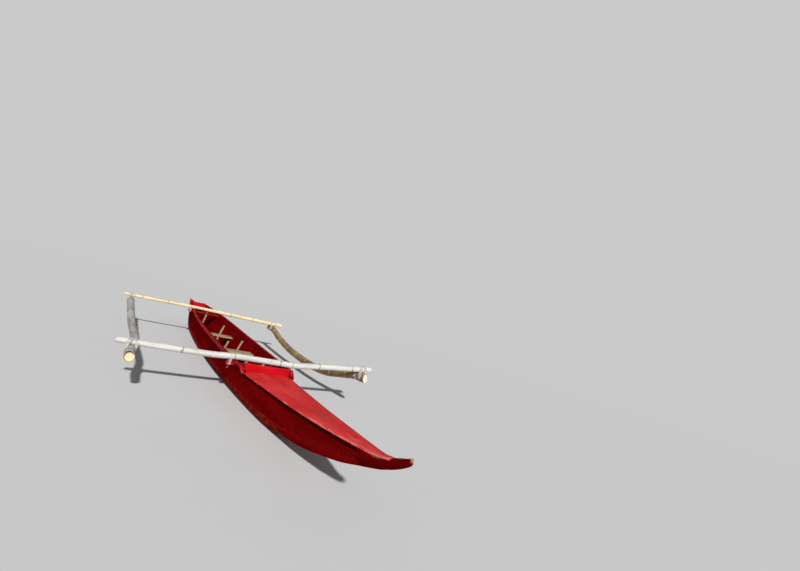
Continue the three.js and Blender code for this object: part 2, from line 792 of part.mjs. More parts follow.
// Two crossed diagonal bindings hold a float up against its boom.
function makeFloatLashing(name, { rows: boomRows, joints }, float, crossX) {
  const floatRows = float.rows;
  const floatHere = poleAt(floatRows, ALONG_X, crossX);
  const boom = poleAt(boomRows, ALONG_Y, floatHere.point.y);
  const widen = Math.SQRT2;
  const boomShape = (grow) => ellipsePoints(
    new THREE.Vector2(0, boom.point.z), boom.r * widen + grow, boom.r + grow);
  const floatShape = (grow) => ellipsePoints(
    new THREE.Vector2(0, floatHere.point.z), floatHere.r * widen + grow, floatHere.r + grow);
  const place = new THREE.Vector3(boom.point.x, floatHere.point.y, 0);
  const shapes = [boomShape, floatShape];
  const bands = [1, -1].map((k) => bandSolid(shapes, FLOAT_BAND, (k * Math.PI) / 4, place));
  const lashing = bands[0].add(bands[1])
    .subtract(toSolid(loftSolid(poleRings(boomRows, BOOM, joints, FIT_GAP))))
    .subtract(toSolid(loftSolid(poleRings(floatRows, FLOAT, float.joints, FIT_GAP))));
  addPiece(name, toGeometry(lashing), 'cord');
}

function buildHull() {
  makeBase();
  makeSidePlank('side_plank_port', 1);
  makeSidePlank('side_plank_starboard', -1);
  makeWashStrake('top_strake_port', 1);
  makeWashStrake('top_strake_starboard', -1);
  makeRail('gunwale_rail_port', 1);
  makeRail('gunwale_rail_starboard', -1);
  makePost('stem_post', STEM_START, 1, STEM_BLOCK);
  makePost('stern_post', STERN_START, -1, STERN_BLOCK);
  makeForedeck();
  makeAftdeck();
  makeCoaming('fore_coaming', FOREDECK_AFT + FIT_GAP, 1);
  makeCoaming('aft_coaming', AFTDECK_FORE - FIT_GAP, -1);
  RIBS.forEach(makeRib);
  RIBS.filter((rib) => rib.seat).forEach((rib, k) => makeSeat(`seat_${k + 1}`, rib.x));
  addPiece('fore_beam', beamBox(FORE_BOOM_X, 0), 'hullRed');
  addPiece('aft_beam', beamBox(AFT_BOOM_X, 0), 'hullRed');
}

function buildOutriggers() {
  const fore = { rows: FORE_BOOM_LINE, joints: FORE_BOOM_JOINTS };
  const aft = { rows: AFT_BOOM_LINE, joints: AFT_BOOM_JOINTS };
  const starboardRows = floatLine(STARBOARD_FLOAT_LINE, STARBOARD_CROSSING);
  const starboard = { rows: starboardRows, joints: NO_JOINTS };
  const port = { rows: floatLine(PORT_FLOAT_LINE, PORT_CROSSING), joints: PORT_FLOAT_JOINTS };
  makePole('fore_boom', fore.rows, BOOM, fore.joints, BOOM_END, 'whiteBamboo');
  makePole('aft_boom', aft.rows, BOOM, aft.joints, BOOM_END, 'yellowBamboo');
  makePole('float_starboard', starboard.rows, FLOAT, starboard.joints, FLOAT_END, 'greyPole');
  makePole('float_port', port.rows, FLOAT, port.joints, FLOAT_END, 'brownBamboo');
  const ends = [
    { end: 'fore', boom: fore, beamX: FORE_BOOM_X, portX: FORE_BOOM_X, starboardX: FORE_BOOM_X },
    { end: 'aft', boom: aft, beamX: AFT_BOOM_X, portX: PORT_CROSSING, starboardX: STARBOARD_CROSSING },
  ];
  ends.forEach(({ end, boom, beamX, portX, starboardX }) => {
    makeGunwaleLashing(`${end}_lashing_port`, boom, beamX, 1);
    makeGunwaleLashing(`${end}_lashing_starboard`, boom, beamX, -1);
    makeFloatLashing(`${end}_float_lashing_port`, boom, port, portX);
    makeFloatLashing(`${end}_float_lashing_starboard`, boom, starboard, starboardX);
  });
}

buildHull();
buildOutriggers();

// The row frame stands the canoe on the floor, with its origin under the middle of its box.
const box = new THREE.Box3().setFromObject(canoe);
canoe.position.set(-(box.min.x + box.max.x) / 2, -(box.min.y + box.max.y) / 2, -box.min.z);

const model = new THREE.Group();
model.add(canoe);

export default model;
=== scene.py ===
import math
from collections import namedtuple

import bmesh
import bpy
from mathutils import Matrix, Vector, noise


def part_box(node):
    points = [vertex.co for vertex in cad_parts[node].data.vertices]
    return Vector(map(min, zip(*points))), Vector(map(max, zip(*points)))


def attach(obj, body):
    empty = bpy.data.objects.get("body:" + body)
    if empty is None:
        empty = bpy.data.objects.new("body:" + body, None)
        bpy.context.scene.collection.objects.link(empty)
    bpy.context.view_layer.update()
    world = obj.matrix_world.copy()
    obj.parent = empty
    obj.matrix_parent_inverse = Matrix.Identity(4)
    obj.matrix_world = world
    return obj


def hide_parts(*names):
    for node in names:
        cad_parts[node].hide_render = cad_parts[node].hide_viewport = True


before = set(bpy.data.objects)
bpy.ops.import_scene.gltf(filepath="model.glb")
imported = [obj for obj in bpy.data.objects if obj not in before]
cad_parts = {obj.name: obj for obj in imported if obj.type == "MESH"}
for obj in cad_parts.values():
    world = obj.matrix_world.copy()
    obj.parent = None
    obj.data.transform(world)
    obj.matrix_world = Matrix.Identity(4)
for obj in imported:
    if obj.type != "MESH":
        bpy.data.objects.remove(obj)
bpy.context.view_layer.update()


# The view: a wide lens at standing height, ahead of the bow and a little to starboard of it.
# The camera is rolled, because the canoe leans in the photo and stands level here.
CAMERA_AT = Vector((5.499, -1.5045, 1.204))
CAMERA_RIGHT = (0.59996, 0.75352, 0.26859)
CAMERA_UP = (-0.08204, -0.27608, 0.95729)
CAMERA_BACK = (0.79573, -0.59618, -0.10382)
FOCAL_PX = 363.07
IMAGE_WIDE_PX = 800
SENSOR_MM = 36
FAR_CLIP = 400


def in_scene(name, data):
    made = bpy.data.objects.new(name, data)
    bpy.context.scene.collection.objects.link(made)
    return made


camera = in_scene("camera", bpy.data.cameras.new("camera"))
camera.data.sensor_width = SENSOR_MM
camera.data.lens = FOCAL_PX / IMAGE_WIDE_PX * SENSOR_MM
camera.data.clip_end = FAR_CLIP
camera_turn = Matrix((CAMERA_RIGHT, CAMERA_UP, CAMERA_BACK)).transposed()
camera.matrix_world = Matrix.Translation(CAMERA_AT) @ camera_turn.to_4x4()
bpy.context.scene.camera = camera
bpy.context.scene.view_settings.view_transform = "Standard"


# The light: one soft key from ahead and a little to starboard, as the daylight falls in the
# photo, and a dim even light from all round.
KEY_TRAVEL = Vector((-0.831, 0.222, -0.509))
KEY_STRENGTH = 4.5
KEY_SPREAD = math.radians(2.2)
SKY_COLOUR = (0.96, 0.98, 1.0, 1)
SKY_STRENGTH = 0.2

key = in_scene("key", bpy.data.lights.new("key", "SUN"))
key.data.energy = KEY_STRENGTH
key.data.angle = KEY_SPREAD
key.rotation_euler = KEY_TRAVEL.to_track_quat("-Z", "Y").to_euler()

world = bpy.data.worlds.new("sky")
world.use_nodes = True
sky = world.node_tree.nodes["Background"].inputs
sky["Color"].default_value = SKY_COLOUR
sky["Strength"].default_value = SKY_STRENGTH
bpy.context.scene.world = world


# The stage: a pale matt floor that turns into an even pale surround far from the canoe. The
# surround is seen by the camera only and sheds no light.
FLOOR_ACROSS = 220.0
FLOOR_GREY = 0.625
FLOOR_VARIES = 0.02
FLOOR_RELIEF = 0.0001
FLOOR_FADE = (8.0, 34.0)
SURROUND_RADIUS = 100.0
SURROUND_GREY = 0.585


def plug(tree, node, values):
    """Sets a node's inputs. A value that varies is linked."""
    for name, value in values.items():
        value = getattr(value, "socket", value)
        if isinstance(value, bpy.types.NodeSocket):
            tree.links.new(value, node.inputs[name])
        else:
            node.inputs[name].default_value = value


def add(tree, kind, values=None, **settings):
    """Adds a shader or geometry node."""
    made = tree.nodes.new(kind)
    for name, value in settings.items():
        setattr(made, name, value)
    plug(tree, made, values or {})
    return made


class Field:
    """A value that varies over a surface or along a cord. Sums with it are written as sums."""

    def __init__(self, tree, socket):
        self.tree, self.socket = tree, socket

    def calc(self, operation, a, b):
        made = add(self.tree, "ShaderNodeMath", {0: a, 1: b}, operation=operation)
        return Field(self.tree, made.outputs[0])

    def __add__(self, other):
        return self.calc("ADD", self, other)

    def __sub__(self, other):
        return self.calc("SUBTRACT", self, other)

    def __rsub__(self, other):
        return self.calc("SUBTRACT", other, self)

    def __mul__(self, other):
        return self.calc("MULTIPLY", self, other)

    def __truediv__(self, other):
        return self.calc("DIVIDE", self, other)

    def __lt__(self, other):
        return self.calc("LESS_THAN", self, other)

    def ramp(self, low, high):
        """0 below low and 1 above high, with an eased slope between."""
        values = {"Value": self, "From Min": low, "From Max": high}
        made = add(self.tree, "ShaderNodeMapRange", values, interpolation_type="SMOOTHSTEP")
        return Field(self.tree, made.outputs[0])


def grey(level):
    return (level,) * 3


def scaled(colour, factor):
    return tuple(v * factor for v in colour)


class Look:
    """A material in the making. Its colour is built up in coats."""

    def __init__(self, name):
        self.material = bpy.data.materials.new(name)
        self.material.use_nodes = True
        self.tree = self.material.node_tree
        self.tree.nodes.clear()
        self.out = add(self.tree, "ShaderNodeOutputMaterial")
        self.shader = add(self.tree, "ShaderNodeBsdfPrincipled")
        self.show(self.shader.outputs[0])

    def show(self, shader):
        plug(self.tree, self.out, {"Surface": shader})

    def field(self, kind, values=None, output=0, **settings):
        return Field(self.tree, add(self.tree, kind, values, **settings).outputs[output])

    def place(self):
        return self.field("ShaderNodeTexCoord", output="Object")

    def marked(self, attribute, output="Fac"):
        return self.field("ShaderNodeAttribute", output=output, attribute_name=attribute)

    def axis(self, where, name):
        return self.field("ShaderNodeSeparateXYZ", {0: where}, name)

    def vector(self, operation, a, b=(0, 0, 0), output=0):
        return self.field("ShaderNodeVectorMath", {0: a, 1: b}, output, operation=operation)

    def noise(self, where, scale, detail=4.0, stretch=(1, 1, 1), roughness=0.55):
        placed = self.field("ShaderNodeMapping", {"Vector": where, "Scale": stretch})
        values = {"Vector": placed, "Scale": scale, "Detail": detail, "Roughness": roughness}
        return self.field("ShaderNodeTexNoise", values, "Fac")

    def mix(self, share, first, second, kind="MIX"):
        first, second = (v if isinstance(v, Field) else (*v, 1) for v in (first, second))
        values = {0: share, 6: first, 7: second}
        return self.field("ShaderNodeMix", values, 2, data_type="RGBA", blend_type=kind)

    def coat(self, share, colour, kind="MIX"):
        """Lays a colour over what is there."""
        self.colour = self.mix(share, self.colour, colour, kind)

    def tone(self, share, field, dark, light):
        """Darkens and lightens the colour by a field."""
        self.coat(share, self.mix(field, grey(dark), grey(light)), "MULTIPLY")

    def glow(self, level):
        return self.field("ShaderNodeEmission", {"Color": (*grey(level), 1), "Strength": 1.0})

    def finish(self, roughness, relief, depth, shine=0.5):
        """Plugs in the colour, a roughness, and a relief whose depth is in metres."""
        values = {"Height": relief, "Distance": depth, "Strength": 1.0}
        plug(self.tree, self.shader, {
            "Base Color": self.colour, "Roughness": roughness, "Specular IOR Level": shine,
            "Normal": self.field("ShaderNodeBump", values),
        })
        return self.material


half = FLOOR_ACROSS / 2
floor_mesh = bpy.data.meshes.new("floor")
floor_mesh.from_pydata([(-half, -half, 0), (half, -half, 0), (half, half, 0), (-half, half, 0)], [],
                       [(0, 1, 2, 3)])
floor = in_scene("floor", floor_mesh)
floor_look = Look("pale_floor")
floor_at = floor_look.place()
mottle = floor_look.noise(floor_at, 1.3, 6)
floor_look.colour = floor_look.mix(mottle, grey(FLOOR_GREY * (1 - FLOOR_VARIES)),
                                   grey(FLOOR_GREY * (1 + FLOOR_VARIES)))
floor_mesh.materials.append(
    floor_look.finish(mottle + 0.4, floor_look.noise(floor_at, 300, 2), FLOOR_RELIEF, shine=0.0))
distance = floor_look.vector("LENGTH", floor_at, output="Value")
floor_look.show(floor_look.field("ShaderNodeMixShader", {
    0: distance.ramp(*FLOOR_FADE), 1: floor_look.shader.outputs[0], 2: floor_look.glow(SURROUND_GREY),
}))

bpy.ops.mesh.primitive_uv_sphere_add(segments=64, ring_count=32, radius=SURROUND_RADIUS)
surround = bpy.context.active_object
surround.name = "surround"
surround_look = Look("surround_glow")
surround_look.tree.nodes.remove(surround_look.shader)
surround_look.show(surround_look.glow(SURROUND_GREY))
surround.data.materials.append(surround_look.material)
for ray in ("diffuse", "glossy", "transmission", "volume_scatter", "shadow"):
    setattr(surround, f"visible_{ray}", False)


# The hull's lines, in millimetres ahead of the fore boom and above the keel: the sections of
# a narrow planked canoe on a hollowed base, as the builder set them up.
MM = 0.001
Section = namedtuple("Section", ("x keel_z keel_half bilge_half bilge_up seam_half seam_up "
                                 "deck_half deck_z top_half top_z"))
SECTIONS = (
    (-5100, 205, 12, 22, 18, 34, 50, 54, 455, 62, 530),
    (-4800, 110, 25, 45, 24, 62, 68, 86, 443, 100, 523),
    (-4400, 35, 46, 76, 29, 97, 84, 124, 430, 141, 512),
    (-3450, 0, 88, 136, 33, 162, 95, 205, 400, 222, 485),
    (-2300, 0, 116, 180, 35, 212, 100, 262, 365, 278, 441),
    (-1200, 0, 120, 187, 35, 222, 100, 279, 345, 292, 413),
    (-450, 0, 106, 166, 35, 203, 100, 273, 340, 287, 402),
    (0, 0, 92, 147, 35, 183, 100, 262, 342, 275, 400),
    (200, 0, 85, 137, 35, 171, 99, 250, 345, 259, 402),
    (440, 3, 76, 122, 34, 153, 96, 231, 350, 238, 404),
    (630, 12, 68, 110, 33, 138, 93, 212, 356, 219, 406),
    (1260, 85, 38, 64, 28, 85, 78, 162, 378, 165, 410),
    (1890, 230, 15, 27, 20, 40, 54, 97, 416, 99, 430),
    (2150, 320, 9, 16, 14, 25, 38, 60, 438, 62, 450),
)
beam_low, beam_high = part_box("fore_beam")
base_low, base_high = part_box("hull_base")
BOAT_X = (beam_low.x + beam_high.x) / 2
BOAT_Y = (base_low.y + base_high.y) / 2


def smooth_column(rows, column, x):
    """A smooth curve through a column of a table, kept free of overshoot."""
    last = len(rows) - 2
    i = next((k for k in range(last) if x <= rows[k + 1][0]), last)

    def slope(k):
        return (rows[k + 1][column] - rows[k][column]) / (rows[k + 1][0] - rows[k][0])

    def tangent(k):
        before, after = slope(max(k - 1, 0)), slope(min(k, last))
        return 0 if before * after <= 0 else 2 * before * after / (before + after)

    (from_x, a), (to_x, b) = ((row[0], row[column]) for row in rows[i:i + 2])
    span = to_x - from_x
    t = (x - from_x) / span
    h = t * t * (3 - 2 * t)
    return a + (b - a) * h + span * t * (1 - t) * ((1 - t) * tangent(i) - t * tangent(i + 1))


def hull_at(x):
    return Section(x, *[smooth_column(SECTIONS, k, x) for k in range(1, len(Section._fields))])


def in_row(x, y, z):
    """A point of the hull's own lines, in metres in the shared frame."""
    return Vector((BOAT_X + x * MM, BOAT_Y + y * MM, z * MM))


def boat_x(row_x):
    return (row_x - BOAT_X) / MM


# The hollowed base: one trough of wood with a flat keel, rounded bilges and thin walls, on
# whose edges the side planks stand. Painted red, and scuffed where it is dragged over ground.
BASE_WALL = 16
BASE_FLOOR = 24
BASE_WALL_SHARE = 0.6
BASE_SLIT = 2
BASE_STEP = 45
BILGE_STEPS = 8
FLOOR_STEPS = (0.6, 0.2, -0.2, -0.6)
HULL_AFT, HULL_FORE = boat_x(base_low.x), boat_x(base_high.x)
EDGE_ROUND = 3.0
SLOW_WAVES, SLOW_DEPTH = 2.3, 0.0012
QUICK_WAVES, QUICK_DEPTH = 17.0, 0.0003
# The sides' red is set far darker than the decks': painted shade, as on sides turned from the light.
HULL_DEEP = (0.165, 0.0012, 0.0018)
HULL_FADED = (0.245, 0.0028, 0.0038)
RUBBED_PAINT = (0.42, 0.07, 0.06)
WORN_WOOD = (0.33, 0.245, 0.18)
DUST_BROWN = (0.30, 0.22, 0.15)
LIP_SHADE = (0.022, 0.0015, 0.0015)
LIP_SHADE_FROM, LIP_SHADE_TO, LIP_FOOT = -0.050, -0.027, -0.0115
FOREDECK_STARTS, AFTDECK_ENDS = (0.16, 0.24), -4.4


def red_paint(name, deep, faded, rubbed, gloss, shine, wear, chips, wood=WORN_WOOD, dust=0.0,
              local=None):
    """Brushed red enamel over planed wood: streaky, scuffed, and rubbed through here and there
    along the edges. wear is how much of the edges is rubbed, from 0 to 1."""
    look = Look(name)
    along, edge, here = look.marked("grain_at", "Vector"), look.marked("worn"), look.place()
    streaks = look.noise(along, 1.0, 6, (5, 150, 150))
    brush = look.noise(along, 1.0, 3, (14, 520, 520))
    patches = look.noise(along, 2.1, 5, (0.8, 3.0, 3.0))
    mottle = look.noise(here, 23, 5)
    look.colour = look.mix(patches.ramp(0.36, 0.68), deep, faded)
    look.tone(0.75, streaks.ramp(0.3, 0.7), 0.78, 1.12)
    look.tone(0.6, mottle, 0.84, 1.14)
    if local:
        local(look, here, along, mottle, streaks)
    scratches = look.noise(along, 1.0, 2, (17, 330, 330), 0.4).ramp(0.69, 0.74)
    scuffs = scratches * look.noise(along, 3.7, 3, (1, 2, 2)).ramp(0.52, 0.66)
    look.coat(scuffs * chips, rubbed)
    specks = look.noise(here, 150, 2).ramp(0.72, 0.76)
    look.coat(specks * chips, rubbed)
    ragged = (mottle - 0.5) * 0.5 + look.noise(along, 9, 4, (1, 1.5, 1.5))
    bite = (ragged + (wear * 0.5 - 0.5)) * edge
    bare = bite.ramp(0.22, 0.25)
    look.coat(bite.ramp(0.07, 0.13) * 0.7, rubbed)
    look.coat(bare, wood)
    if dust > 0:
        low = 1.0 - look.axis(here, "Z").ramp(0.0, dust)
        look.coat(low * mottle.ramp(0.42, 0.72) * 0.45, DUST_BROWN)
    roughness = patches * 0.3 + (gloss - 0.12) + bare * 0.4
    relief = streaks * 0.7 + brush * 0.25 - scuffs * 0.35 - bare * 0.6
    return look.finish(roughness, relief, 0.0009, shine)


def shade_under_lip(look, here, along, mottle, streaks):
    """A dark band painted on the planks just under the decks' lips: painted shade, as the lips would cast.
    """
    up, run = look.axis(along, "Z"), look.axis(along, "X")
    beside_deck = run.calc("MAXIMUM", run.ramp(*FOREDECK_STARTS), run < AFTDECK_ENDS)
    near = (up + mottle * 0.008).ramp(LIP_SHADE_FROM, LIP_SHADE_TO) * (up < LIP_FOOT)
    look.coat(near * beside_deck * 0.88, LIP_SHADE)


hull_paint = red_paint("hull_red_paint", HULL_DEEP, HULL_FADED, RUBBED_PAINT, gloss=0.5, shine=0.0,
                       wear=-0.02, chips=0.3, dust=0.14, local=shade_under_lip)


def stops_between(low, high, step):
    """Places from low to high, with two close ones at each end for the rounded end edges."""
    count = max(2, round((high - low) / step))
    inner = [low + (high - low) * k / count for k in range(1, count)]
    inner = [x for x in inner if low + 2 * EDGE_ROUND < x < high - 2 * EDGE_ROUND]
    return [low, low + EDGE_ROUND, *inner, high - EDGE_ROUND, high]


def loft(name, rings, waviness, marks=("worn",)):
    """A closed skin through rings, with a hand-made unevenness. A ring's points are given as
    place, grain's own place and marks such as the wear, which are kept on the skin."""
    count = len(rings[0])
    points, grain, *values = zip(*[point for ring in rings for point in ring])
    faces = []
    for start in range(0, len(points) - count, count):
        for k in range(count):
            a, b = start + k, start + (k + 1) % count
            faces.append((a, b, b + count, a + count))
    caps = [list(reversed(range(count))), list(range(len(points) - count, len(points)))]
    mesh = bpy.data.meshes.new(name)
    mesh.from_pydata([tuple(p) for p in points], [], faces + caps)
    mesh.attributes.new("grain_at", "FLOAT_VECTOR", "POINT")
    for mark in marks:
        mesh.attributes.new(mark, "FLOAT", "POINT")
    mesh.attributes["grain_at"].data.foreach_set("vector", [v for spot in grain for v in spot])
    for mark, shares in zip(marks, values):
        mesh.attributes[mark].data.foreach_set("value", shares)
    mesh.shade_smooth()
    for polygon in mesh.polygons[len(faces):]:
        polygon.use_smooth = False
    shape = bmesh.new()
    shape.from_mesh(mesh)
    bmesh.ops.recalc_face_normals(shape, faces=shape.faces)
    wide = [face for face in shape.faces if len(face.verts) > 4]
    bmesh.ops.triangulate(shape, faces=wide, ngon_method="EAR_CLIP")
    shape.normal_update()
    for vert in shape.verts:
        slow = noise.noise(vert.co * SLOW_WAVES) * SLOW_DEPTH
        quick = noise.noise(vert.co * QUICK_WAVES) * QUICK_DEPTH
        vert.co += vert.normal * (slow + quick) * waviness
    shape.to_mesh(mesh)
    shape.free()
    return in_scene(name, mesh)


def dress(piece, slot, *nodes, material=None):
    """Gives a finished piece its finish and its place in the canoe."""
    if material:
        piece.data.materials.append(material)
    if nodes:
        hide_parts(*nodes)
    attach(piece, "root")


def skin_along(name, xs, outline_at, waviness=1.0):
    """A skin along the hull. At each place outline_at gives the height that the grain is
    measured from, and the outline's points with their wear."""
    rings = []
    for x in xs:
        level, outline = outline_at(x)
        rings.append([(in_row(x, p.x, p.y), (x * MM, p.x * MM, (p.y - level) * MM), w)
                      for p, w in outline])
    return loft(name, rings, waviness)


def bend(first, control, last, t):
    return first * (1 - t) ** 2 + control * 2 * t * (1 - t) + last * t * t


def bulged(first, through, last):
    """Points from first to last on a smooth curve that passes through the middle one."""
    control = through * 2 - (first + last) / 2
    return [bend(first, control, last, n / BILGE_STEPS) for n in range(BILGE_STEPS + 1)]


def mirrored(half_ring):
    """The starboard half of an outline, from its port half."""
    return [(Vector((-p.x, p.y)), w) for p, w in reversed(half_ring)]


def base_outline(x):
    s = hull_at(x)
    wall = min(BASE_WALL, s.seam_half * BASE_WALL_SHARE)
    keel = Vector((s.keel_half, s.keel_z))
    bilge = Vector((s.bilge_half, s.keel_z + s.bilge_up))
    seam = Vector((s.seam_half, s.keel_z + s.seam_up))
    in_keel = Vector((max(s.keel_half - wall / 2, BASE_SLIT), s.keel_z + BASE_FLOOR))
    in_bilge = Vector((max(s.bilge_half - wall, BASE_SLIT), bilge.y + BASE_FLOOR / 2))
    in_seam = Vector((max(s.seam_half - wall, BASE_SLIT), seam.y))
    half_ring = bulged(keel, bilge, seam) + bulged(in_seam, in_bilge, in_keel)
    port = [(p, 1.0 if p in (seam, in_seam) else 0.0) for p in half_ring]
    in_floor = [(Vector((in_keel.x * t, in_keel.y)), 0.0) for t in FLOOR_STEPS]
    out_floor = [(Vector((-keel.x * t, keel.y)), 0.0) for t in FLOOR_STEPS]
    return s.keel_z, port + in_floor + mirrored(port) + out_floor


base = skin_along("base_trough", stops_between(HULL_AFT, HULL_FORE, BASE_STEP), base_outline, 0.8)
for vert in base.data.vertices:
    vert.co.z = max(vert.co.z, 0.0)
dress(base, "hull_paint", "hull_base", material=hull_paint)


# The side planks: one wide board on each side, made of three lengths butted end to end, that
# flares from the base's edge to the deck. Brushed red enamel.
PLANK = 14
DECK_THICK = 12
SEAM_GAP = 0.3
PLANK_STEP = 45
EDGE_ROWS = (6.0, 16.0)
EDGE_WEAR = (0.6, 0.25)
ROUND_SHARE, CLOSE_SHARE, NEAR_SHARE = 0.3, 0.12, 0.25
END_PULL = 0.7
SIDES = (("port", 1), ("starboard", -1))
THREE_LENGTHS = ("aft", "middle", "fore")


def round_corners(corners, radius, cuts):
    """The outline through the corners, with its corners rounded: points and how worn they are.
    Each side is cut into rows, close together near its ends."""
    outline = []
    for k in range(len(corners)):
        before, here, after = (Vector(corners[n % len(corners)]) for n in (k - 1, k, k + 1))
        to_before, side = before - here, after - here
        r = min(radius, to_before.length * ROUND_SHARE, side.length * ROUND_SHARE)
        first = here + to_before.normalized() * r
        last = here + side.normalized() * r
        middle = bend(first, here, last, 0.5)
        outline += [(first, 1.0), (middle, 1.0), (last, 1.0)]
        close = min(EDGE_ROWS[0], side.length * CLOSE_SHARE)
        near = min(EDGE_ROWS[1], side.length * NEAR_SHARE)
        rows = [near + (side.length - 2 * near) * (n + 1) / (cuts[k] + 1) for n in range(cuts[k])]
        stops = [(close, EDGE_WEAR[0]), (near, EDGE_WEAR[1]), *[(row, 0.0) for row in rows],
                 (side.length - near, EDGE_WEAR[1]), (side.length - close, EDGE_WEAR[0])]
        outline += [(here + side.normalized() * stop, worn) for stop, worn in stops]
    return outline


def pull_in(point, middle, amount):
    inward = middle - point
    return point + inward.normalized() * min(amount * END_PULL, inward.length * ROUND_SHARE)


def sweep_board(name, stops, corners_at, cuts, place, radius=EDGE_ROUND, waviness=1.0):
    """A board swept along its length: its section may change, and its edges and ends are rounded.
    place gives a point of the section its place and its grain's own place."""
    rings = []
    for stop in stops:
        outline = round_corners(corners_at(stop), radius, cuts)
        if stop in (stops[0], stops[-1]):
            middle = sum((p for p, w in outline), Vector((0, 0))) / len(outline)
            outline = [(pull_in(p, middle, radius), 1.0) for p, w in outline]
        from_end = min(stop - stops[0], stops[-1] - stop)
        rings.append([(*place(stop, p), max(w, 1 - from_end / EDGE_ROWS[1])) for p, w in outline])
    return loft(name, rings, waviness)


def side_plank_corners(s):
    low_z = s.keel_z + s.seam_up + SEAM_GAP
    high_z = s.deck_z - DECK_THICK
    return [(s.seam_half, low_z), (s.deck_half, high_z),
            (s.deck_half - PLANK, high_z), (s.seam_half - PLANK, low_z)]


def hull_boards(kind, form, lengths, corners_at, cuts, step, slot, material):
    """A board that runs along both sides of the hull, in lengths that the frame gives."""
    for side_name, side in SIDES:
        def place(x, p):
            s = hull_at(x)
            grain_at = (x * MM, side * (p.x - s.deck_half) * MM, (p.y - s.deck_z) * MM)
            return in_row(x, side * p.x, p.y), grain_at

        for length in lengths:
            node = f"{kind}_{side_name}_{length}"
            low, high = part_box(node)
            stops = stops_between(boat_x(low.x), boat_x(high.x), step)
            board = sweep_board(f"{node}_{form}", stops, lambda x: corners_at(hull_at(x)), cuts, place)
            dress(board, slot, node, material=material)


hull_boards("side_plank", "board", THREE_LENGTHS, side_plank_corners, (7, 1, 5, 1), PLANK_STEP,
            "hull_paint", hull_paint)


# The top strakes: a narrow board on each side above the deck line, three lengths to a side,
# which slopes down to the deck at both ends.
STRAKE_FORE, STRAKE_AFT, STRAKE_AFT_LEVEL = 290, -5000, -4700
FOREDECK_AFT, AFTDECK_FORE = 200, -4400
STRAKE_TIP_RISE = 10
STRAKE_STEP = 24


def strake_top(s):
    fore = (STRAKE_FORE - s.x) / (STRAKE_FORE - FOREDECK_AFT)
    aft = (s.x - STRAKE_AFT) / (STRAKE_AFT_LEVEL - STRAKE_AFT)
    share = max(0.0, min(fore, aft, 1.0))
    low = s.deck_z + STRAKE_TIP_RISE
    return low + (s.top_z - low) * share


def strake_half(s, z):
    lowest = s.deck_z - DECK_THICK
    rise = max(0.0, z - lowest) / (s.top_z - lowest)
    return s.deck_half + (s.top_half - s.deck_half) * rise


def strake_corners(s):
    on_deck = not AFTDECK_FORE < s.x < FOREDECK_AFT
    low_z = s.deck_z + SEAM_GAP - (0 if on_deck else DECK_THICK)
    high_z = strake_top(s)
    low, high = strake_half(s, low_z), strake_half(s, high_z)
    return [(low, low_z), (high, high_z), (high - PLANK, high_z), (low - PLANK, low_z)]


hull_boards("top_strake", "board", THREE_LENGTHS, strake_corners, (3, 1, 3, 1), STRAKE_STEP,
            "hull_paint", hull_paint)


# The gunwale rails: a batten nailed along the outside of each top strake, flush with its top,
# two lengths to a side. Its red is rubbed pink along the top by hands, paddles and cord.
RAIL_WIDE, RAIL_TALL, RAIL_GAP = 28, 22, 0.9
RAIL_STEP = 30
TWO_LENGTHS = ("aft", "fore")
RAIL_DEEP = (0.25, 0.0022, 0.0075)
RAIL_FADED = (0.39, 0.008, 0.018)
RAIL_PINK = (0.56, 0.09, 0.12)
rail_paint = red_paint("rail_red_paint", RAIL_DEEP, RAIL_FADED, RAIL_PINK, gloss=0.48, shine=0.02,
                       wear=0.08, chips=0.35)


def rail_corners(s):
    high_z = strake_top(s)
    low_z = high_z - RAIL_TALL
    in_low = strake_half(s, low_z) + RAIL_GAP
    in_high = strake_half(s, high_z) + RAIL_GAP
    outer = in_high + RAIL_WIDE
    return [(outer, low_z), (outer, high_z), (in_high, high_z), (in_low, low_z)]


hull_boards("gunwale_rail", "batten", TWO_LENGTHS, rail_corners, (2, 2, 1, 2), RAIL_STEP,
            "rail_paint", rail_paint)


# The posts: a solid block at each end that the planks butt against. The stem runs up into a
# blunt knob, whose end is rubbed to pale wood. Painted as the sides are, darker still for painted
# shade, with the flat tops painted as pale as the decks: partly faded, partly painted light.
STEM_ROWS = ((2280, 366, 440, 6, 41), (2335, 388, 452.5, 7, 34), (2390, 414, 465, 9, 27),
             (2394, 415.5, 477, 10, 26), (2470, 456, 513, 12, 20), (2505, 479, 528, 12, 18),
             (2530, 497, 540, 11, 16), (2546, 514, 531, 9, 12))
STERN_ROWS = ((-5300, 288, 458, 9, 39), (-5480, 380, 470, 8, 25), (-5590, 448, 480, 8, 17),
              (-5640, 478, 496, 7, 11))
POST_STEP = 12
BILGE_UP, BILGE_OUT = 0.3, 0.45
POST_CORNER_DOWN, POST_CORNER_IN, POST_FLAT = 0.06, 0.22, 0.6
TIP_ROUND = (0, 1, 3, 6, 10, 15)
TIP_SMALLEST = 0.45
TIP_WEAR = 7.0
TIP_WORN_BACK = 34.0
TIP_CLEAR = 3
TOP_EDGE_WEAR, TOP_EDGE_DOWN, TOP_EDGE_FROM = 0.6, 4, 0.7
# The posts' reds are set darker still than the sides': painted shade, as on faces turned from the light.
POST_DEEP = (0.105, 0.0007, 0.0012)
POST_FADED = (0.165, 0.0018, 0.0025)
POST_RUBBED = (0.36, 0.07, 0.06)
POST_TOP_DARK, POST_TOP_PALE = (0.30, 0.006, 0.009), (0.46, 0.030, 0.034)
KNOB_PALE = (0.36, 0.18, 0.15)


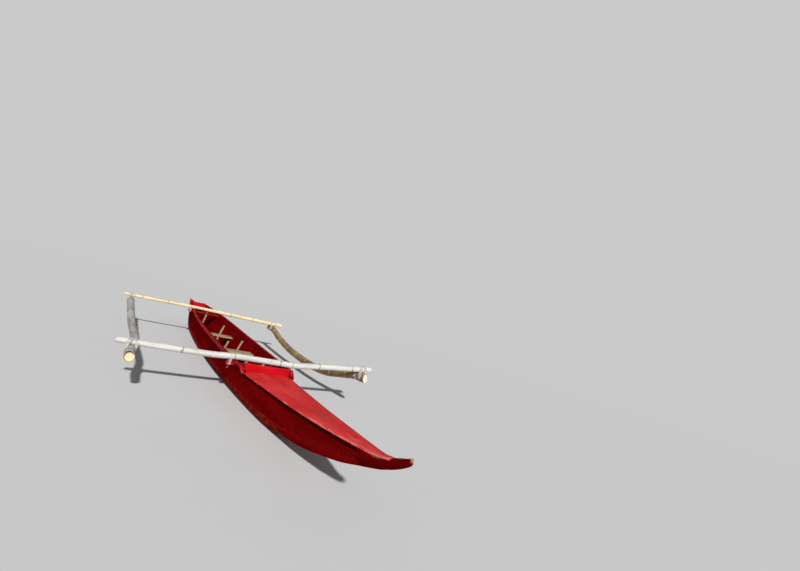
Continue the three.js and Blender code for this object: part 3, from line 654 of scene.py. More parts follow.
def post_outline(low_z, high_z, low_half, high_half):
    low, high = Vector((low_half, low_z)), Vector((high_half, high_z))
    bilge = Vector((low_half + (high_half - low_half) * BILGE_OUT,
                    low_z + (high_z - low_z) * BILGE_UP))
    port = bulged(low, bilge, high)[:-1]
    port += [high + (bilge - high) * POST_CORNER_DOWN, high - Vector((high_half * POST_CORNER_IN, 0)),
             high - Vector((high_half * POST_FLAT, 0))]
    return port + [Vector((-p.x, p.y)) for p in reversed(port)]


def build_post(name, node, start_x, rows, direction):
    s = hull_at(start_x)
    first = (start_x + direction * SEAM_GAP, s.keel_z, s.deck_z - DECK_THICK, s.keel_half,
             s.deck_half)
    table = sorted([first, *rows])
    low_x, high_x = table[0][0], table[-1][0]
    tip_x = high_x if direction > 0 else low_x

    def outline_at(x):
        low_z, high_z, low_half, high_half = (smooth_column(table, k, x) for k in range(1, 5))
        outline = post_outline(low_z, high_z, low_half, high_half)
        middle = Vector((0, (low_z + high_z) / 2))
        foot = low_z + (high_z - low_z) / 4
        to_tip = abs(tip_x - x)
        if to_tip < TIP_ROUND[-1]:
            share = 1 - to_tip / TIP_ROUND[-1]
            shrink = TIP_SMALLEST + (1 - TIP_SMALLEST) * math.sqrt(1 - share ** 2)
            outline = [middle + (p - middle) * shrink for p in outline]

        def worn(p):
            high_up = max(0.0, (p.y - foot) / (high_z - foot))
            tip = max(0.0, 1.0 - to_tip / TIP_WORN_BACK) * high_up * TIP_WEAR
            on_edge = p.y > high_z - TOP_EDGE_DOWN and abs(p.x) > high_half * TOP_EDGE_FROM
            return max(tip, TOP_EDGE_WEAR if on_edge else 0.0)

        return high_z, [(p, worn(p)) for p in outline]

    body = [x for x in stops_between(low_x, high_x, POST_STEP)
            if abs(x - tip_x) > TIP_ROUND[-1] + TIP_CLEAR]
    xs = sorted(body + [tip_x - direction * back for back in TIP_ROUND])
    dress(skin_along(name, xs, outline_at), "hull_paint", node, material=post_paint)


def faded_and_lit_top(look, here, along, mottle, streaks):
    """The posts' flat tops are painted as pale as the decks: partly faded, partly painted light, as on
    tops that face the light.
    """
    level = look.axis(along, "Z") + mottle * 0.0012
    look.coat(level.ramp(-0.0012, 0.0004), look.mix(mottle, POST_TOP_DARK, POST_TOP_PALE))


post_paint = red_paint("post_red_paint", POST_DEEP, POST_FADED, POST_RUBBED, gloss=0.5, shine=0.0,
                       wear=0.1, chips=0.3, wood=KNOB_PALE, local=faded_and_lit_top)
build_post("stem_block", "stem_post", HULL_FORE, STEM_ROWS, 1)
build_post("stern_block", "stern_post", HULL_AFT, STERN_ROWS, -1)


# The decks: a thin crowned board over each end, flush with the planks' outside but for a
# slight lip. Their red is far paler than the sides': partly sun-faded, partly painted light, as on
# tops that face the light. Feet have worn the foredeck's middle.
DECK_CROWN, FULL_CROWN_HALF, DECK_MARGIN = 6, 100, 18
CROWN_SHARE = 0.94
DECK_LIP = 3.0
DECK_EDGE, DECK_EDGE_SHARE, DECK_CORNER = 2.5, 0.2, 0.3
DECK_END_HALF, DECK_END_PULL = 0.99, 0.2
DECK_STEP = 30
DECK_ROWS = (0.85, 0.7, 0.55, 0.4, 0.25, 0.1)
DECK_WEAR = (0.6, 1, 1, 1, 1, 1, 0.7, 0.25, 0, 0, 0, 0, 0, 0)
# The decks' reds are set far paler than the sides': partly sun-faded, partly painted light.
DECK_DEEP = (0.60, 0.012, 0.015)
DECK_FADED = (0.76, 0.038, 0.036)
DECK_PINK = (0.78, 0.20, 0.17)
WORN_BROWN = (0.30, 0.055, 0.035)
FOOT_WORN_AT, FOOT_WORN_SIZE = (3.09, -0.062, 0.39), (0.19, 0.05, 0.09)
SCUFFED_AT, SCUFFED_SIZE = (3.72, -0.075, 0.45), (0.33, 0.045, 0.1)
RUBBED_RUN = (1.30, 1.62)


def patch(look, here, centre, size, mottle, ragged):
    """1 inside a ragged oval patch, 0 outside."""
    from_centre = look.vector("DIVIDE", look.vector("SUBTRACT", here, centre), size)
    reach = look.vector("LENGTH", from_centre, output="Value") + mottle * ragged
    return 1.0 - reach.ramp(0.7 + ragged / 2, 1.05 + ragged / 2)


def deck_marks(look, here, along, mottle, streaks):
    """Feet have worn the foredeck, and its starboard edge is rubbed."""
    worn = patch(look, here, FOOT_WORN_AT, FOOT_WORN_SIZE, mottle, 2.2)
    look.coat(worn * look.noise(here, 60, 4).ramp(0.4, 0.62) * 0.75, WORN_BROWN)
    look.coat(worn * look.noise(here, 75, 3).ramp(0.62, 0.68) * 0.7, DECK_PINK)
    scuffed = patch(look, here, SCUFFED_AT, SCUFFED_SIZE, mottle, 2.4)
    look.coat(scuffed * streaks.ramp(0.5, 0.62) * 0.7, DECK_PINK)
    rubbed = look.marked("worn").ramp(0.04, 0.5) * look.axis(along, "X").ramp(*RUBBED_RUN)
    broken = look.noise(along, 1.0, 5, (7, 40, 40)).ramp(0.4, 0.56)
    look.coat(rubbed * (look.axis(along, "Y") < 0.0) * broken * 0.75, DECK_PINK)


deck_paint = red_paint("deck_red_paint", DECK_DEEP, DECK_FADED, DECK_PINK, gloss=0.52, shine=0.14,
                       wear=-0.05, chips=0.3, local=deck_marks)


def deck_outline(half, z):
    low = z - DECK_THICK + SEAM_GAP
    crown = DECK_CROWN * min(1, half / FULL_CROWN_HALF)
    margin = max(half - DECK_MARGIN, half / 2)
    edge = min(DECK_EDGE, half * DECK_EDGE_SHARE)
    corner = edge * DECK_CORNER
    lip = half + DECK_LIP
    port = [Vector((lip - edge, low)), Vector((lip - corner, low + corner)),
            Vector((lip, low + edge)), Vector((lip, z - edge)),
            Vector((lip - corner, z - corner))]
    for y in (lip - edge, half - 3, margin, *[margin * t for t in DECK_ROWS]):
        rise = crown * (1 - (y / margin) ** 2) if y < margin else 0.0
        port.append(Vector((y, z + rise * CROWN_SHARE)))
    half_ring = list(zip(port, DECK_WEAR))
    return half_ring + mirrored(half_ring)


def build_deck(name, node, hull_from, hull_to, post_rows):
    inner = [row[0] for row in SECTIONS if hull_from < row[0] < hull_to]
    table = [(x, hull_at(x).deck_half, hull_at(x).deck_z) for x in (hull_from, *inner, hull_to)]
    table = sorted(table + [(row[0], row[4], row[2] + DECK_THICK) for row in post_rows])
    stops = stops_between(table[0][0], table[-1][0], DECK_STEP)

    def outline_at(x):
        half, z = smooth_column(table, 1, x), smooth_column(table, 2, x)
        outline = deck_outline(half, z)
        if x in (stops[0], stops[-1]):
            middle_z = z - DECK_THICK / 2
            outline = [(Vector((p.x * DECK_END_HALF, p.y + (middle_z - p.y) * DECK_END_PULL)), 1.0)
                       for p, w in outline]
        return z, outline

    dress(skin_along(name, stops, outline_at), "deck_paint", node, material=deck_paint)


build_deck("foredeck_board", "foredeck", FOREDECK_AFT + SEAM_GAP, HULL_FORE, STEM_ROWS[:3])
build_deck("aftdeck_board", "aftdeck", HULL_AFT, AFTDECK_FORE - SEAM_GAP, STERN_ROWS[:2])


# The coamings: an upright board across each deck's open edge, between the top strakes, that
# keeps spray out of the hull. Less faded than the deck.
COAMING_PROUD = 24
CROSS_STEP = 30
COAMING_DEEP = (0.40, 0.003, 0.006)
COAMING_FADED = (0.55, 0.008, 0.014)
COAMING_PINK = (0.60, 0.12, 0.10)
coaming_paint = red_paint("coaming_red_paint", COAMING_DEEP, COAMING_FADED, COAMING_PINK, gloss=0.5,
                          shine=0.04, wear=-0.03, chips=0.25)


def cross_board(name, half, corners_at, cuts, radius=EDGE_ROUND, waviness=1.0):
    """A board that lies across the hull. Its corners are places along and above the hull."""
    def place(y, p):
        return in_row(p.x, y, p.y), (y * MM, p.x * MM, p.y * MM)

    stops = stops_between(-half, half, CROSS_STEP)
    return sweep_board(name, stops, corners_at, cuts, place, radius, waviness)


def build_coaming(node, deck_x):
    low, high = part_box(node)
    aft_x, fore_x = boat_x(low.x), boat_x(high.x)
    s = hull_at(deck_x)
    half = strake_half(s, s.deck_z) - PLANK - 2 * SEAM_GAP
    top, foot = s.top_z + COAMING_PROUD, s.deck_z + 2 * SEAM_GAP

    def corners(y):
        bottom = foot + DECK_CROWN * (1 - (y / half) ** 2)
        return [(fore_x, bottom), (fore_x, top), (aft_x, top), (aft_x, bottom)]

    coaming = cross_board(f"{node}_board", half, corners, (3, 1, 3, 1))
    dress(coaming, "deck_paint", node, material=coaming_paint)


build_coaming("fore_coaming", FOREDECK_AFT)
build_coaming("aft_coaming", AFTDECK_FORE)


# The ribs: grown crooks that line the hull from plank edge to plank edge, of bare wood gone
# grey-brown. Two of them stop lower down and carry the seats.
RIB_DEEP, RIB_CLEAR = 26, 0.7
RIB_BILGE_SHARE = 0.7
RIB_CORNER_SHARE = 0.3
RIB_GRAIN_STEP = 0.02
RIB_ROUND, RIB_WAVINESS = 3.5, 1.4
RIB_PALE, RIB_DARK, RIB_STAIN = (0.34, 0.24, 0.15), (0.19, 0.125, 0.075), (0.12, 0.09, 0.065)
EDGE_PALE = (0.5, 0.42, 0.32)


def bare_wood(name, pale, dark, stain, red_drips):
    """Unpainted planed wood: growth lines, end cracks, dirt in the grain, and a few drips of red."""
    look = Look(name)
    along, edge = look.marked("grain_at", "Vector"), look.marked("worn")
    lines = look.noise(along, 1.0, 6, (5, 130, 130))
    pores = look.noise(along, 1.0, 2, (26, 900, 900))
    stains = look.noise(along, 9, 4, (1, 2, 2))
    look.colour = look.mix(lines.ramp(0.36, 0.64), dark, pale)
    look.coat(stains.ramp(0.5, 0.7) * 0.7, stain)
    look.tone(0.7, look.noise(along, 5, 3, (0.6, 1, 1)), 0.8, 1.2)
    look.coat(edge * stains.ramp(0.35, 0.6) * 0.35, EDGE_PALE)
    look.coat(look.noise(along, 16, 2).ramp(0.66, 0.68) * red_drips, HULL_FADED)
    return look.finish(stains * 0.3 + 0.6, lines + pores * 0.5, 0.001)


rib_wood = bare_wood("bare_rib_wood", RIB_PALE, RIB_DARK, RIB_STAIN, red_drips=0.6)


def rib_line(s, top_z, depth):
    """A rib's line, from one top down to the floor and up again, at a depth in from its outside."""
    side, base = PLANK + RIB_CLEAR + depth, BASE_WALL + RIB_CLEAR + depth
    seam_z = s.keel_z + s.seam_up
    rise = (top_z - seam_z) / (s.deck_z - DECK_THICK - seam_z)
    top_half = s.seam_half + (s.deck_half - s.seam_half) * rise
    bilge_z = s.keel_z + s.bilge_up + BASE_FLOOR / 2 + RIB_CLEAR + depth * RIB_BILGE_SHARE
    floor_z = s.keel_z + BASE_FLOOR + RIB_CLEAR + depth
    port = [Vector((top_half - side, top_z)), Vector((s.seam_half - base, seam_z)),
            Vector((s.bilge_half - base, bilge_z)),
            Vector((s.keel_half - BASE_WALL / 2 - depth / 3, floor_z))]
    return port + [Vector((-p.x, p.y)) for p in reversed(port)]


def eased_line(points):
    """Points along a line of corners, with each corner cut by a curve."""
    line = [points[0]]
    for before, here, after in zip(points, points[1:], points[2:]):
        first = here + (before - here) * RIB_CORNER_SHARE
        last = here + (after - here) * RIB_CORNER_SHARE
        line += [first, *[bend(first, here, last, t) for t in (0.25, 0.5, 0.75)], last]
    line.append(points[-1])
    full = []
    for a, b in zip(line, line[1:]):
        full += [a, a + (b - a) / 2]
    return full + [line[-1]]


def build_rib(node):
    low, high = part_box(node)
    middle_x = boat_x((low.x + high.x) / 2)
    half_wide = (high.x - low.x) / MM / 2
    s = hull_at(middle_x)
    outer, inner = (eased_line(rib_line(s, high.z / MM, depth)) for depth in (0, RIB_DEEP))

    def corners(n):
        deep = (inner[n] - outer[n]).length
        return [(-half_wide, 0.0), (half_wide, 0.0), (half_wide, deep), (-half_wide, deep)]

    def place(n, p):
        spot = outer[n] + (inner[n] - outer[n]).normalized() * p.y
        grain_at = (n * RIB_GRAIN_STEP, p.x * MM, p.y * MM)
        return in_row(middle_x + p.x, spot.x, spot.y), grain_at

    rib = sweep_board(f"{node}_crook", range(len(outer)), corners, (1, 1, 1, 1), place, RIB_ROUND,
                      RIB_WAVINESS)
    dress(rib, "bare_wood", node, material=rib_wood)


for number in range(1, 7):
    build_rib(f"rib_{number}")


# The seats: a plain board across the hull on top of a rib, of the same bare wood, polished by
# use. Four nails hold it at each end.
SEAT_PALE, SEAT_DARK, SEAT_STAIN = (0.46, 0.33, 0.20), (0.29, 0.19, 0.11), (0.17, 0.12, 0.08)
seat_wood = bare_wood("worn_seat_wood", SEAT_PALE, SEAT_DARK, SEAT_STAIN, red_drips=0.3)


def square_board(node, form, cuts, slot, material, inset, radius, waviness):
    """A board across the hull that fills its node's box in the frame, but for an inset at its ends."""
    low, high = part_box(node)
    aft_x, fore_x = boat_x(low.x), boat_x(high.x)
    corners = [(fore_x, low.z / MM), (fore_x, high.z / MM), (aft_x, high.z / MM), (aft_x, low.z / MM)]
    half = (high.y - low.y) / MM / 2 - inset
    board = cross_board(f"{node}_{form}", half, lambda y: corners, cuts, radius, waviness)
    dress(board, slot, node, material=material)


for node in ("seat_1", "seat_2"):
    square_board(node, "board", (1, 5, 1, 5), "bare_wood", seat_wood, inset=1.5, radius=4.0, waviness=1.2)


# The beams: a squared bar across the gunwales under each boom, let into the top strakes. Its
# ends stand out past the rails to hold the cord, and their red is rubbed pink.
BEAM_DEEP, BEAM_FADED, BEAM_PINK = (0.20, 0.003, 0.007), (0.29, 0.010, 0.016), (0.34, 0.045, 0.06)
BEAM_CORNER = 3.5
beam_paint = red_paint("beam_red_paint", BEAM_DEEP, BEAM_FADED, BEAM_PINK, gloss=0.48, shine=0.02,
                       wear=0.04, chips=0.4)
for node in ("fore_beam", "aft_beam"):
    square_board(node, "bar", (1, 2, 1, 2), "hull_paint", beam_paint, inset=0, radius=BEAM_CORNER,
                 waviness=0.5)


# The booms and floats: two bamboo booms, a grey weathered pole on the starboard side and a
# crooked brown bamboo on the port side. Each is read from the frame as rings along its length.
POLE_SIDES = 28
POLE_STEP = 0.016
POLE_WAVINESS = 0.3
RING_LEAST = 12
BORE_NARROWER, BORE_DEEPEST = 0.9, 0.08
JOINT_WIDER = 1.025
CLEAR_OF_JOINT, CLEAR_OF_END = 0.03, 0.006
JOINT_STOPS = (-0.024, -0.016, -0.010, -0.006, -0.003, 0.0, 0.003, 0.006, 0.0085, 0.011, 0.016, 0.024)
JOINT_SHAPE = ((0.05, 0.0, 0.0055), (-0.022, 0.0085, 0.0025), (0.02, -0.012, 0.012))
JOINT_STAIN_REACH = 0.012
END_STOPS = (0.0, 0.0015, 0.004)
END_BEVEL = 0.0012
BORE_STOPS = ((1.0, 1.0), (0.6, 0.8), (0.2, 0.5))
# The black painted round a cut end's heart: a painted shadow of the hollow's top rim.
RIM_SHADOW_BLACK = (0.012, 0.009, 0.006)
HEART_EDGE = 0.0008
POLE_SHINE = 0.3
PLAIN_END = {"trim": 0.0, "reach": 0.1, "wide": 1.0, "tall": 1.0, "lean": 0.0, "slant": 0.0}


def pole_rows(node, axis):
    """Rows of place along the axis, centre x, y, z and radius, and the places of its joints."""
    groups = {}
    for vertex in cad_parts[node].data.vertices:
        spot = tuple(round(value, 5) for value in vertex.co)
        groups.setdefault(round(vertex.co[axis], 4), set()).add(spot)
    rows = []
    for at in sorted(groups):
        spots = [Vector(spot) for spot in groups[at]]
        if len(spots) < RING_LEAST:
            continue
        centre = sum(spots, Vector()) / len(spots)
        radius = max((spot - centre).length for spot in spots)
        rows.append((at, *centre, radius))
    ends = (rows[0], rows[-1])
    solid = [row for row in rows
             if all(row[4] > BORE_NARROWER * end[4] or abs(row[0] - end[0]) > BORE_DEEPEST
                    for end in ends)]
    joints = [b[0] for a, b, c in zip(solid, solid[1:], solid[2:])
              if b[4] > JOINT_WIDER * (a[4] + c[4]) / 2]
    return [row for row in solid if row[0] not in joints], joints


def joint_swell(distance):
    """How a bamboo's radius changes near a joint: a ridge, a fine groove beside it and a flare."""
    return sum(rise * math.exp(-((distance - at) / wide) ** 2) for rise, at, wide in JOINT_SHAPE)


class Pole:
    """A round pole along x or y: where its centre runs and how thick its skin is. Its fore or port
    end may be trimmed, wider, taller and cut at a slant."""

    def __init__(self, node, axis, roundness, lumps, end):
        self.rows, self.joints = pole_rows(node, axis)
        self.axis, self.across = axis, 1 - axis
        self.roundness, self.lumps = roundness, lumps
        self.end = {**PLAIN_END, **end}
        self.low, self.high = self.rows[0][0], self.rows[-1][0] - self.end["trim"]

    def near_end(self, at):
        """0 along the pole, and up to 1 at its fore or port end."""
        t = min(1.0, max(0.0, 1 - (self.high - at) / self.end["reach"]))
        return t * t * (3 - 2 * t)

    def centre(self, at):
        return Vector([smooth_column(self.rows, k, at) for k in (1, 2, 3)])

    def radius(self, at):
        return smooth_column(self.rows, 4, at)

    def skin(self, at, angle):
        c, s = math.cos(angle), math.sin(angle)
        uneven = self.roundness * noise.noise(Vector((c * 0.9, s * 0.9, at * 2.1 + self.low * 3.7)))
        lump = self.lumps * noise.noise(Vector((c * 0.7, s * 0.7, at * 7.0 + 9.0)))
        near = sum(joint_swell(at - joint) for joint in self.joints)
        return self.radius(at) * (1 + near + uneven + lump)

    def on_skin(self, at, angle, out):
        """A point at a height above the skin."""
        spot, end = self.centre(at), self.end
        reach = self.skin(at, angle) + out
        share = self.near_end(at)
        across, up = reach * math.cos(angle), reach * math.sin(angle)
        spot[self.across] += across * (1 + (end["wide"] - 1) * share) + up * end["lean"] * share
        spot[self.axis] -= across * end["slant"] * share ** 4
        spot.z += up * (1 + (end["tall"] - 1) * share)
        return spot


def build_pole(name, node, axis, slot, material, wall, hollow, roundness, lumps=0.0, **end):
    """A pole through the frame's rings, with its joints, its uneven skin and its hollow ends."""
    pole = Pole(node, axis, roundness, lumps, end)
    low, high = pole.low, pole.high
    count = round((high - low) / POLE_STEP)
    plain = [low + (high - low) * k / count for k in range(1, count)]
    stops = [low + stop for stop in END_STOPS] + [high - stop for stop in END_STOPS]
    stops += [at for at in plain if all(abs(at - joint) > CLEAR_OF_JOINT for joint in pole.joints)
              and low + CLEAR_OF_END < at < high - CLEAR_OF_END]
    stops += [joint + offset for joint in pole.joints for offset in JOINT_STOPS]
    bore = [(hollow * share, fresh) for share, fresh in BORE_STOPS] + [(END_BEVEL, 0.2), (0, 0)]

    def ring(at, inset, fresh):
        radius = pole.radius(at)
        from_joint = min([abs(at - joint) for joint in pole.joints] or [9])
        stain = math.exp(-from_joint / JOINT_STAIN_REACH)
        angles = [2 * math.pi * k / POLE_SIDES for k in range(POLE_SIDES)]
        return [(pole.on_skin(at, angle, -inset),
                 (at, math.cos(angle) * radius, math.sin(angle) * radius), stain, fresh)
                for angle in angles]

    rings = [ring(low + inward, wall, fresh) for inward, fresh in bore]
    rings += [ring(at, END_BEVEL if at in (low, high) else 0.0, 0.0) for at in sorted(stops)]
    rings += [ring(high - inward, wall, fresh) for inward, fresh in reversed(bore)]
    made = loft(name, rings, POLE_WAVINESS, ("worn", "fresh_cut"))
    dress(made, slot, node, material=material)
    return pole


def pole_skin(name, skin, skin_dark, blotch, joint_tint, end_pale, gloss, streaky, inside=0.45,
              flaking=None, heart=None):
    """A round pole's skin: fine lengthwise streaks, blotches, darker joints and pale cut ends, whose
    hollows' walls are painted darker by inside as painted shade. A heart is the middle's height and the
    radius of a pale core; round it the cut end is painted black, a painted shadow of the hollow's rim."""
    look = Look(name)
    along, joint, cut = look.marked("grain_at", "Vector"), look.marked("worn"), look.marked("fresh_cut")
    streaks = look.noise(along, 1.0, 5, (3.2, 160, 160))
    fine = look.noise(along, 1.0, 3, (11, 700, 700))
    cloud = look.noise(along, 4.2, 5, (0.8, 3, 3))
    look.colour = look.mix(cloud.ramp(0.38, 0.66), skin, skin_dark)
    look.coat(streaks.ramp(0.46, 0.68) * streaky, blotch)
    look.coat(look.noise(along, 90, 3).ramp(0.56, 0.72) * 0.35, blotch)
    if flaking:
        flakes = look.noise(along, 30, 5, (0.5, 1, 1)) + joint * 0.16
        look.coat(flakes.ramp(0.655, 0.675), flaking)
    look.coat(joint.ramp(0.25, 0.7) * 0.25, joint_tint)
    look.coat(joint.ramp(0.62, 0.78) * 0.55, joint_tint)
    # The hollow's walls take the cut end's colour times inside: painted shade in the hollow.
    look.coat(cut.ramp(0.15, 0.4), scaled(end_pale, inside))
    end_grain = look.mix(look.noise(along, 170, 3), end_pale, scaled(end_pale, 0.72))
    look.coat(cut.ramp(0.9, 0.99), end_grain)
    if heart:
        # Round the heart the cut end is painted black: a painted shadow of the hollow's top rim.
        middle_z, radius = heart
        section = look.vector("MULTIPLY", along, (0, 1, 1))
        from_middle = look.vector("DISTANCE", section, (0, 0, middle_z), "Value")
        outside = from_middle.ramp(radius - HEART_EDGE, radius + HEART_EDGE)
        look.coat(outside * cut.ramp(0.3, 0.45), RIM_SHADOW_BLACK)
    return look.finish(cloud * 0.25 + gloss + cut * 0.3, streaks * 0.8 + fine * 0.3, 0.0008, POLE_SHINE)


white_paint = pole_skin(
    "white_painted_bamboo", skin=(0.60, 0.585, 0.555), skin_dark=(0.50, 0.48, 0.45),
    blotch=(0.36, 0.32, 0.28), joint_tint=(0.14, 0.125, 0.11), end_pale=(0.56, 0.52, 0.46), gloss=0.42,
    streaky=0.4, flaking=(0.33, 0.26, 0.17))
yellow_skin = pole_skin(
    "yellow_bamboo_skin", skin=(0.80, 0.65, 0.41), skin_dark=(0.66, 0.49, 0.27),
    blotch=(0.38, 0.24, 0.10), joint_tint=(0.22, 0.13, 0.06), end_pale=(0.74, 0.60, 0.40), gloss=0.34,
    streaky=0.45)
grey_wood = pole_skin(
    "grey_weathered_wood", skin=(0.49, 0.465, 0.45), skin_dark=(0.33, 0.31, 0.295),
    blotch=(0.13, 0.12, 0.11), joint_tint=(0.17, 0.16, 0.15), end_pale=(0.80, 0.65, 0.42), gloss=0.66,
    streaky=0.7, inside=0.9, heart=(-0.0152, 0.0482))
brown_skin = pole_skin(
    "brown_bamboo_skin", skin=(0.36, 0.235, 0.10), skin_dark=(0.20, 0.125, 0.055),
    blotch=(0.10, 0.06, 0.03), joint_tint=(0.52, 0.44, 0.32), end_pale=(0.76, 0.71, 0.62), gloss=0.42,
    streaky=0.6, inside=0.9)
fore_boom = build_pole("fore_boom_bamboo", "fore_boom", 1, "white_bamboo", white_paint, wall=0.006,
                       hollow=0.030, roundness=0.012, trim=0.016, tall=1.14)
aft_boom = build_pole("aft_boom_bamboo", "aft_boom", 1, "yellow_bamboo", yellow_skin, wall=0.006,
                      hollow=0.030, roundness=0.012)
starboard_float = build_pole("starboard_float_pole", "float_starboard", 0, "grey_pole", grey_wood,
                             wall=0.0045, hollow=0.038, roundness=0.05, lumps=0.035, reach=0.26,
                             wide=0.92, tall=1.18, lean=-0.226)
port_float = build_pole("port_float_bamboo", "float_port", 0, "brown_bamboo", brown_skin, wall=0.0035,
                        hollow=0.008, roundness=0.016, wide=0.93, tall=1.12, lean=-0.16, slant=0.36)


# The lashings: thin pale cord, wound side by side round each boom and beam end outside the
# rail, and in two crossed diagonals where a boom holds a float. A short end hangs from each.
CORD_ACROSS = 0.0029
CORD_HOLLOW = 0.37
CORD_STEP = 0.003
CORD_LAY = 0.016
GUNWALE_TURNS, FLOAT_TURNS = 7, 10
GUNWALE_END, FLOAT_END, END_STEPS = 0.045, 0.05, 14
END_CURL, END_OUT, END_FALL = 0.010, (0.004, 0.012), 1.3
GUNWALE_WANDER, FLOAT_WANDER = 0.0007, 0.0006
FLOAT_BAND = 0.034
CROSSING_IN, CROSSING_REACH = 0.003, 0.013
STOPS_PER_TURN = 44
DIAGONAL = math.sqrt(0.5)
CORD_DARK, CORD_PALE, CORD_GRIME = (0.52, 0.49, 0.43), (0.72, 0.69, 0.63), (0.32, 0.27, 0.21)


def start_tree(name, **inputs):
    """A node tree with named inputs: the tree, its inputs' identifiers and their values."""
    tree = bpy.data.node_groups.new(name, "GeometryNodeTree")
    make = tree.interface.new_socket
    names = {key: make(key, in_out="INPUT", socket_type=f"NodeSocket{kind}").identifier
             for key, kind in inputs.items()}
    make("Made", in_out="OUTPUT", socket_type="NodeSocketGeometry")
    given = add(tree, "NodeGroupInput").outputs
    return tree, names, {key: Field(tree, given[key]) for key in inputs}


def end_tree(tree, last, material):
    """Ends a node tree in one smooth, real and painted mesh of what its last node makes."""
    smooth = add(tree, "GeometryNodeSetShadeSmooth", {"Geometry": last.outputs[0], "Shade Smooth": True})
    real = add(tree, "GeometryNodeRealizeInstances", {"Geometry": smooth.outputs[0]})
    painted = add(tree, "GeometryNodeSetMaterial", {"Geometry": real.outputs[0], "Material": material})
    add(tree, "NodeGroupOutput", {0: painted.outputs[0]})


def made_by_tree(name, data, tree, names, **settings):
    """The plain mesh that a node tree makes of a curve or of points."""
    source = in_scene(name, data)
    maker = source.modifiers.new("maker", "NODES")
    maker.node_group = tree
    for key, value in settings.items():
        maker[names[key]] = value
    seen = source.evaluated_get(bpy.context.evaluated_depsgraph_get())
    mesh = bpy.data.meshes.new_from_object(seen)
    source.modifiers.clear()
    bpy.data.objects.remove(source)
    return in_scene(name, mesh)


# The node tree turns a path into laid cord: even steps, a twist on the way, a three-strand section.
cord_tree, cord_inputs, given = start_tree("laid_cord", Path="Geometry", Step="Float", Lay="Float",
                                           Across="Float", Material="Material")
even = add(cord_tree, "GeometryNodeResampleCurve",
           {"Curve": given["Path"], "Length": given["Step"]}, mode="LENGTH")
run = Field(cord_tree, add(cord_tree, "GeometryNodeSplineParameter").outputs["Length"])
twist = run / given["Lay"] * (2 * math.pi)
twisted = add(cord_tree, "GeometryNodeSetCurveTilt", {"Curve": even.outputs[0], "Tilt": twist})
section = add(cord_tree, "GeometryNodeCurveStar",
              {"Points": 3, "Inner Radius": given["Across"] * CORD_HOLLOW,
               "Outer Radius": given["Across"] * 0.5})
strands = add(cord_tree, "GeometryNodeCurveToMesh", {
    "Curve": twisted.outputs[0], "Profile Curve": section.outputs[0], "Fill Caps": True})
end_tree(cord_tree, strands, given["Material"])

look = Look("pale_nylon_cord")
here = look.place()
fuzz, grime = look.noise(here, 1400, 3), look.noise(here, 45, 4)
look.colour = look.mix(fuzz, CORD_DARK, CORD_PALE)
look.coat(grime.ramp(0.48, 0.7) * 0.5, CORD_GRIME)
cord_look = look.finish(grime * 0.2 + 0.55, fuzz, 0.0002, 0.3)


def cord_object(node, paths):
    name = f"{node}_cord"
    curve = bpy.data.curves.new(name, "CURVE")
    curve.dimensions = "3D"
    for path in paths:
        spline = curve.splines.new("POLY")
        spline.points.add(len(path) - 1)
        spline.points.foreach_set("co", [v for p in path for v in (*p, 1.0)])
    cord = made_by_tree(name, curve, cord_tree, cord_inputs, Step=CORD_STEP, Lay=CORD_LAY,
                        Across=CORD_ACROSS, Material=cord_look)
    dress(cord, "cord", node)


def farthest(ovals, angle):
    """Which oval reaches farthest out in a direction, and its point there. An oval is its
    centre's place across and up, and its half-width and half-height."""
    c, s = math.cos(angle), math.sin(angle)
    reaches = [(u * c + z * s + math.hypot(wide * c, tall * s), k)
               for k, (u, z, wide, tall) in enumerate(ovals)]
    far, k = max(reaches)
    u, z, wide, tall = ovals[k]
    reach = math.hypot(wide * c, tall * s)
    return k, Vector((u + wide * wide * c / reach, z + tall * tall * s / reach))


def loose_end(path, length, side):
    """A short free end that leaves the last turn and hangs."""
    start = path[-1]
    tail = []
    for k in range(1, END_STEPS + 1):
        t = k / END_STEPS
        curl = noise.noise(start * 31 + Vector((0, 0, t * 2.0))) * END_CURL * t
        out = side * (END_OUT[0] + END_OUT[1] * t) * t
        tail.append(start + Vector((curl, out + curl, -length * t ** END_FALL)))
    return path + tail


def turns(count):
    """Stops along a cord's turns: a number, the share of the way and the angle, from below."""
    steps = count * STOPS_PER_TURN
    return [(n, n / steps, 2 * math.pi * n / STOPS_PER_TURN - math.pi / 2) for n in range(steps + 1)]


def bind_gunwale(node, boom, beam_node, side):
    """Turns round a boom and the beam's end under it, each turn in an upright plane."""
    low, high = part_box(node)
    beam_from, beam_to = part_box(beam_node)
    out = CORD_ACROSS / 2
    round_by = BEAM_CORNER * MM
    corner = round_by + out
    path = []
    for n, share, angle in turns(GUNWALE_TURNS):
        wander = GUNWALE_WANDER * noise.noise(Vector((n * 0.05, low.x * 9, low.y * 9)))
        y = low.y + out + (high.y - low.y - CORD_ACROSS) * share + wander
        centre, thick = boom.centre(y), boom.radius(y) + out
        ovals = [(centre.x, centre.z, thick, thick)]
        ovals += [(x, beam_from.z + round_by, corner, corner)
                  for x in (beam_from.x + round_by, beam_to.x - round_by)]
        which, p = farthest(ovals, angle)
        spot = Vector((p.x, y, p.y))
        if which == 0:
            spot = boom.on_skin(y, math.atan2(p.y - centre.z, p.x - centre.x), out)
        path.append(spot)
    cord_object(node, [loose_end(path, GUNWALE_END, side)])


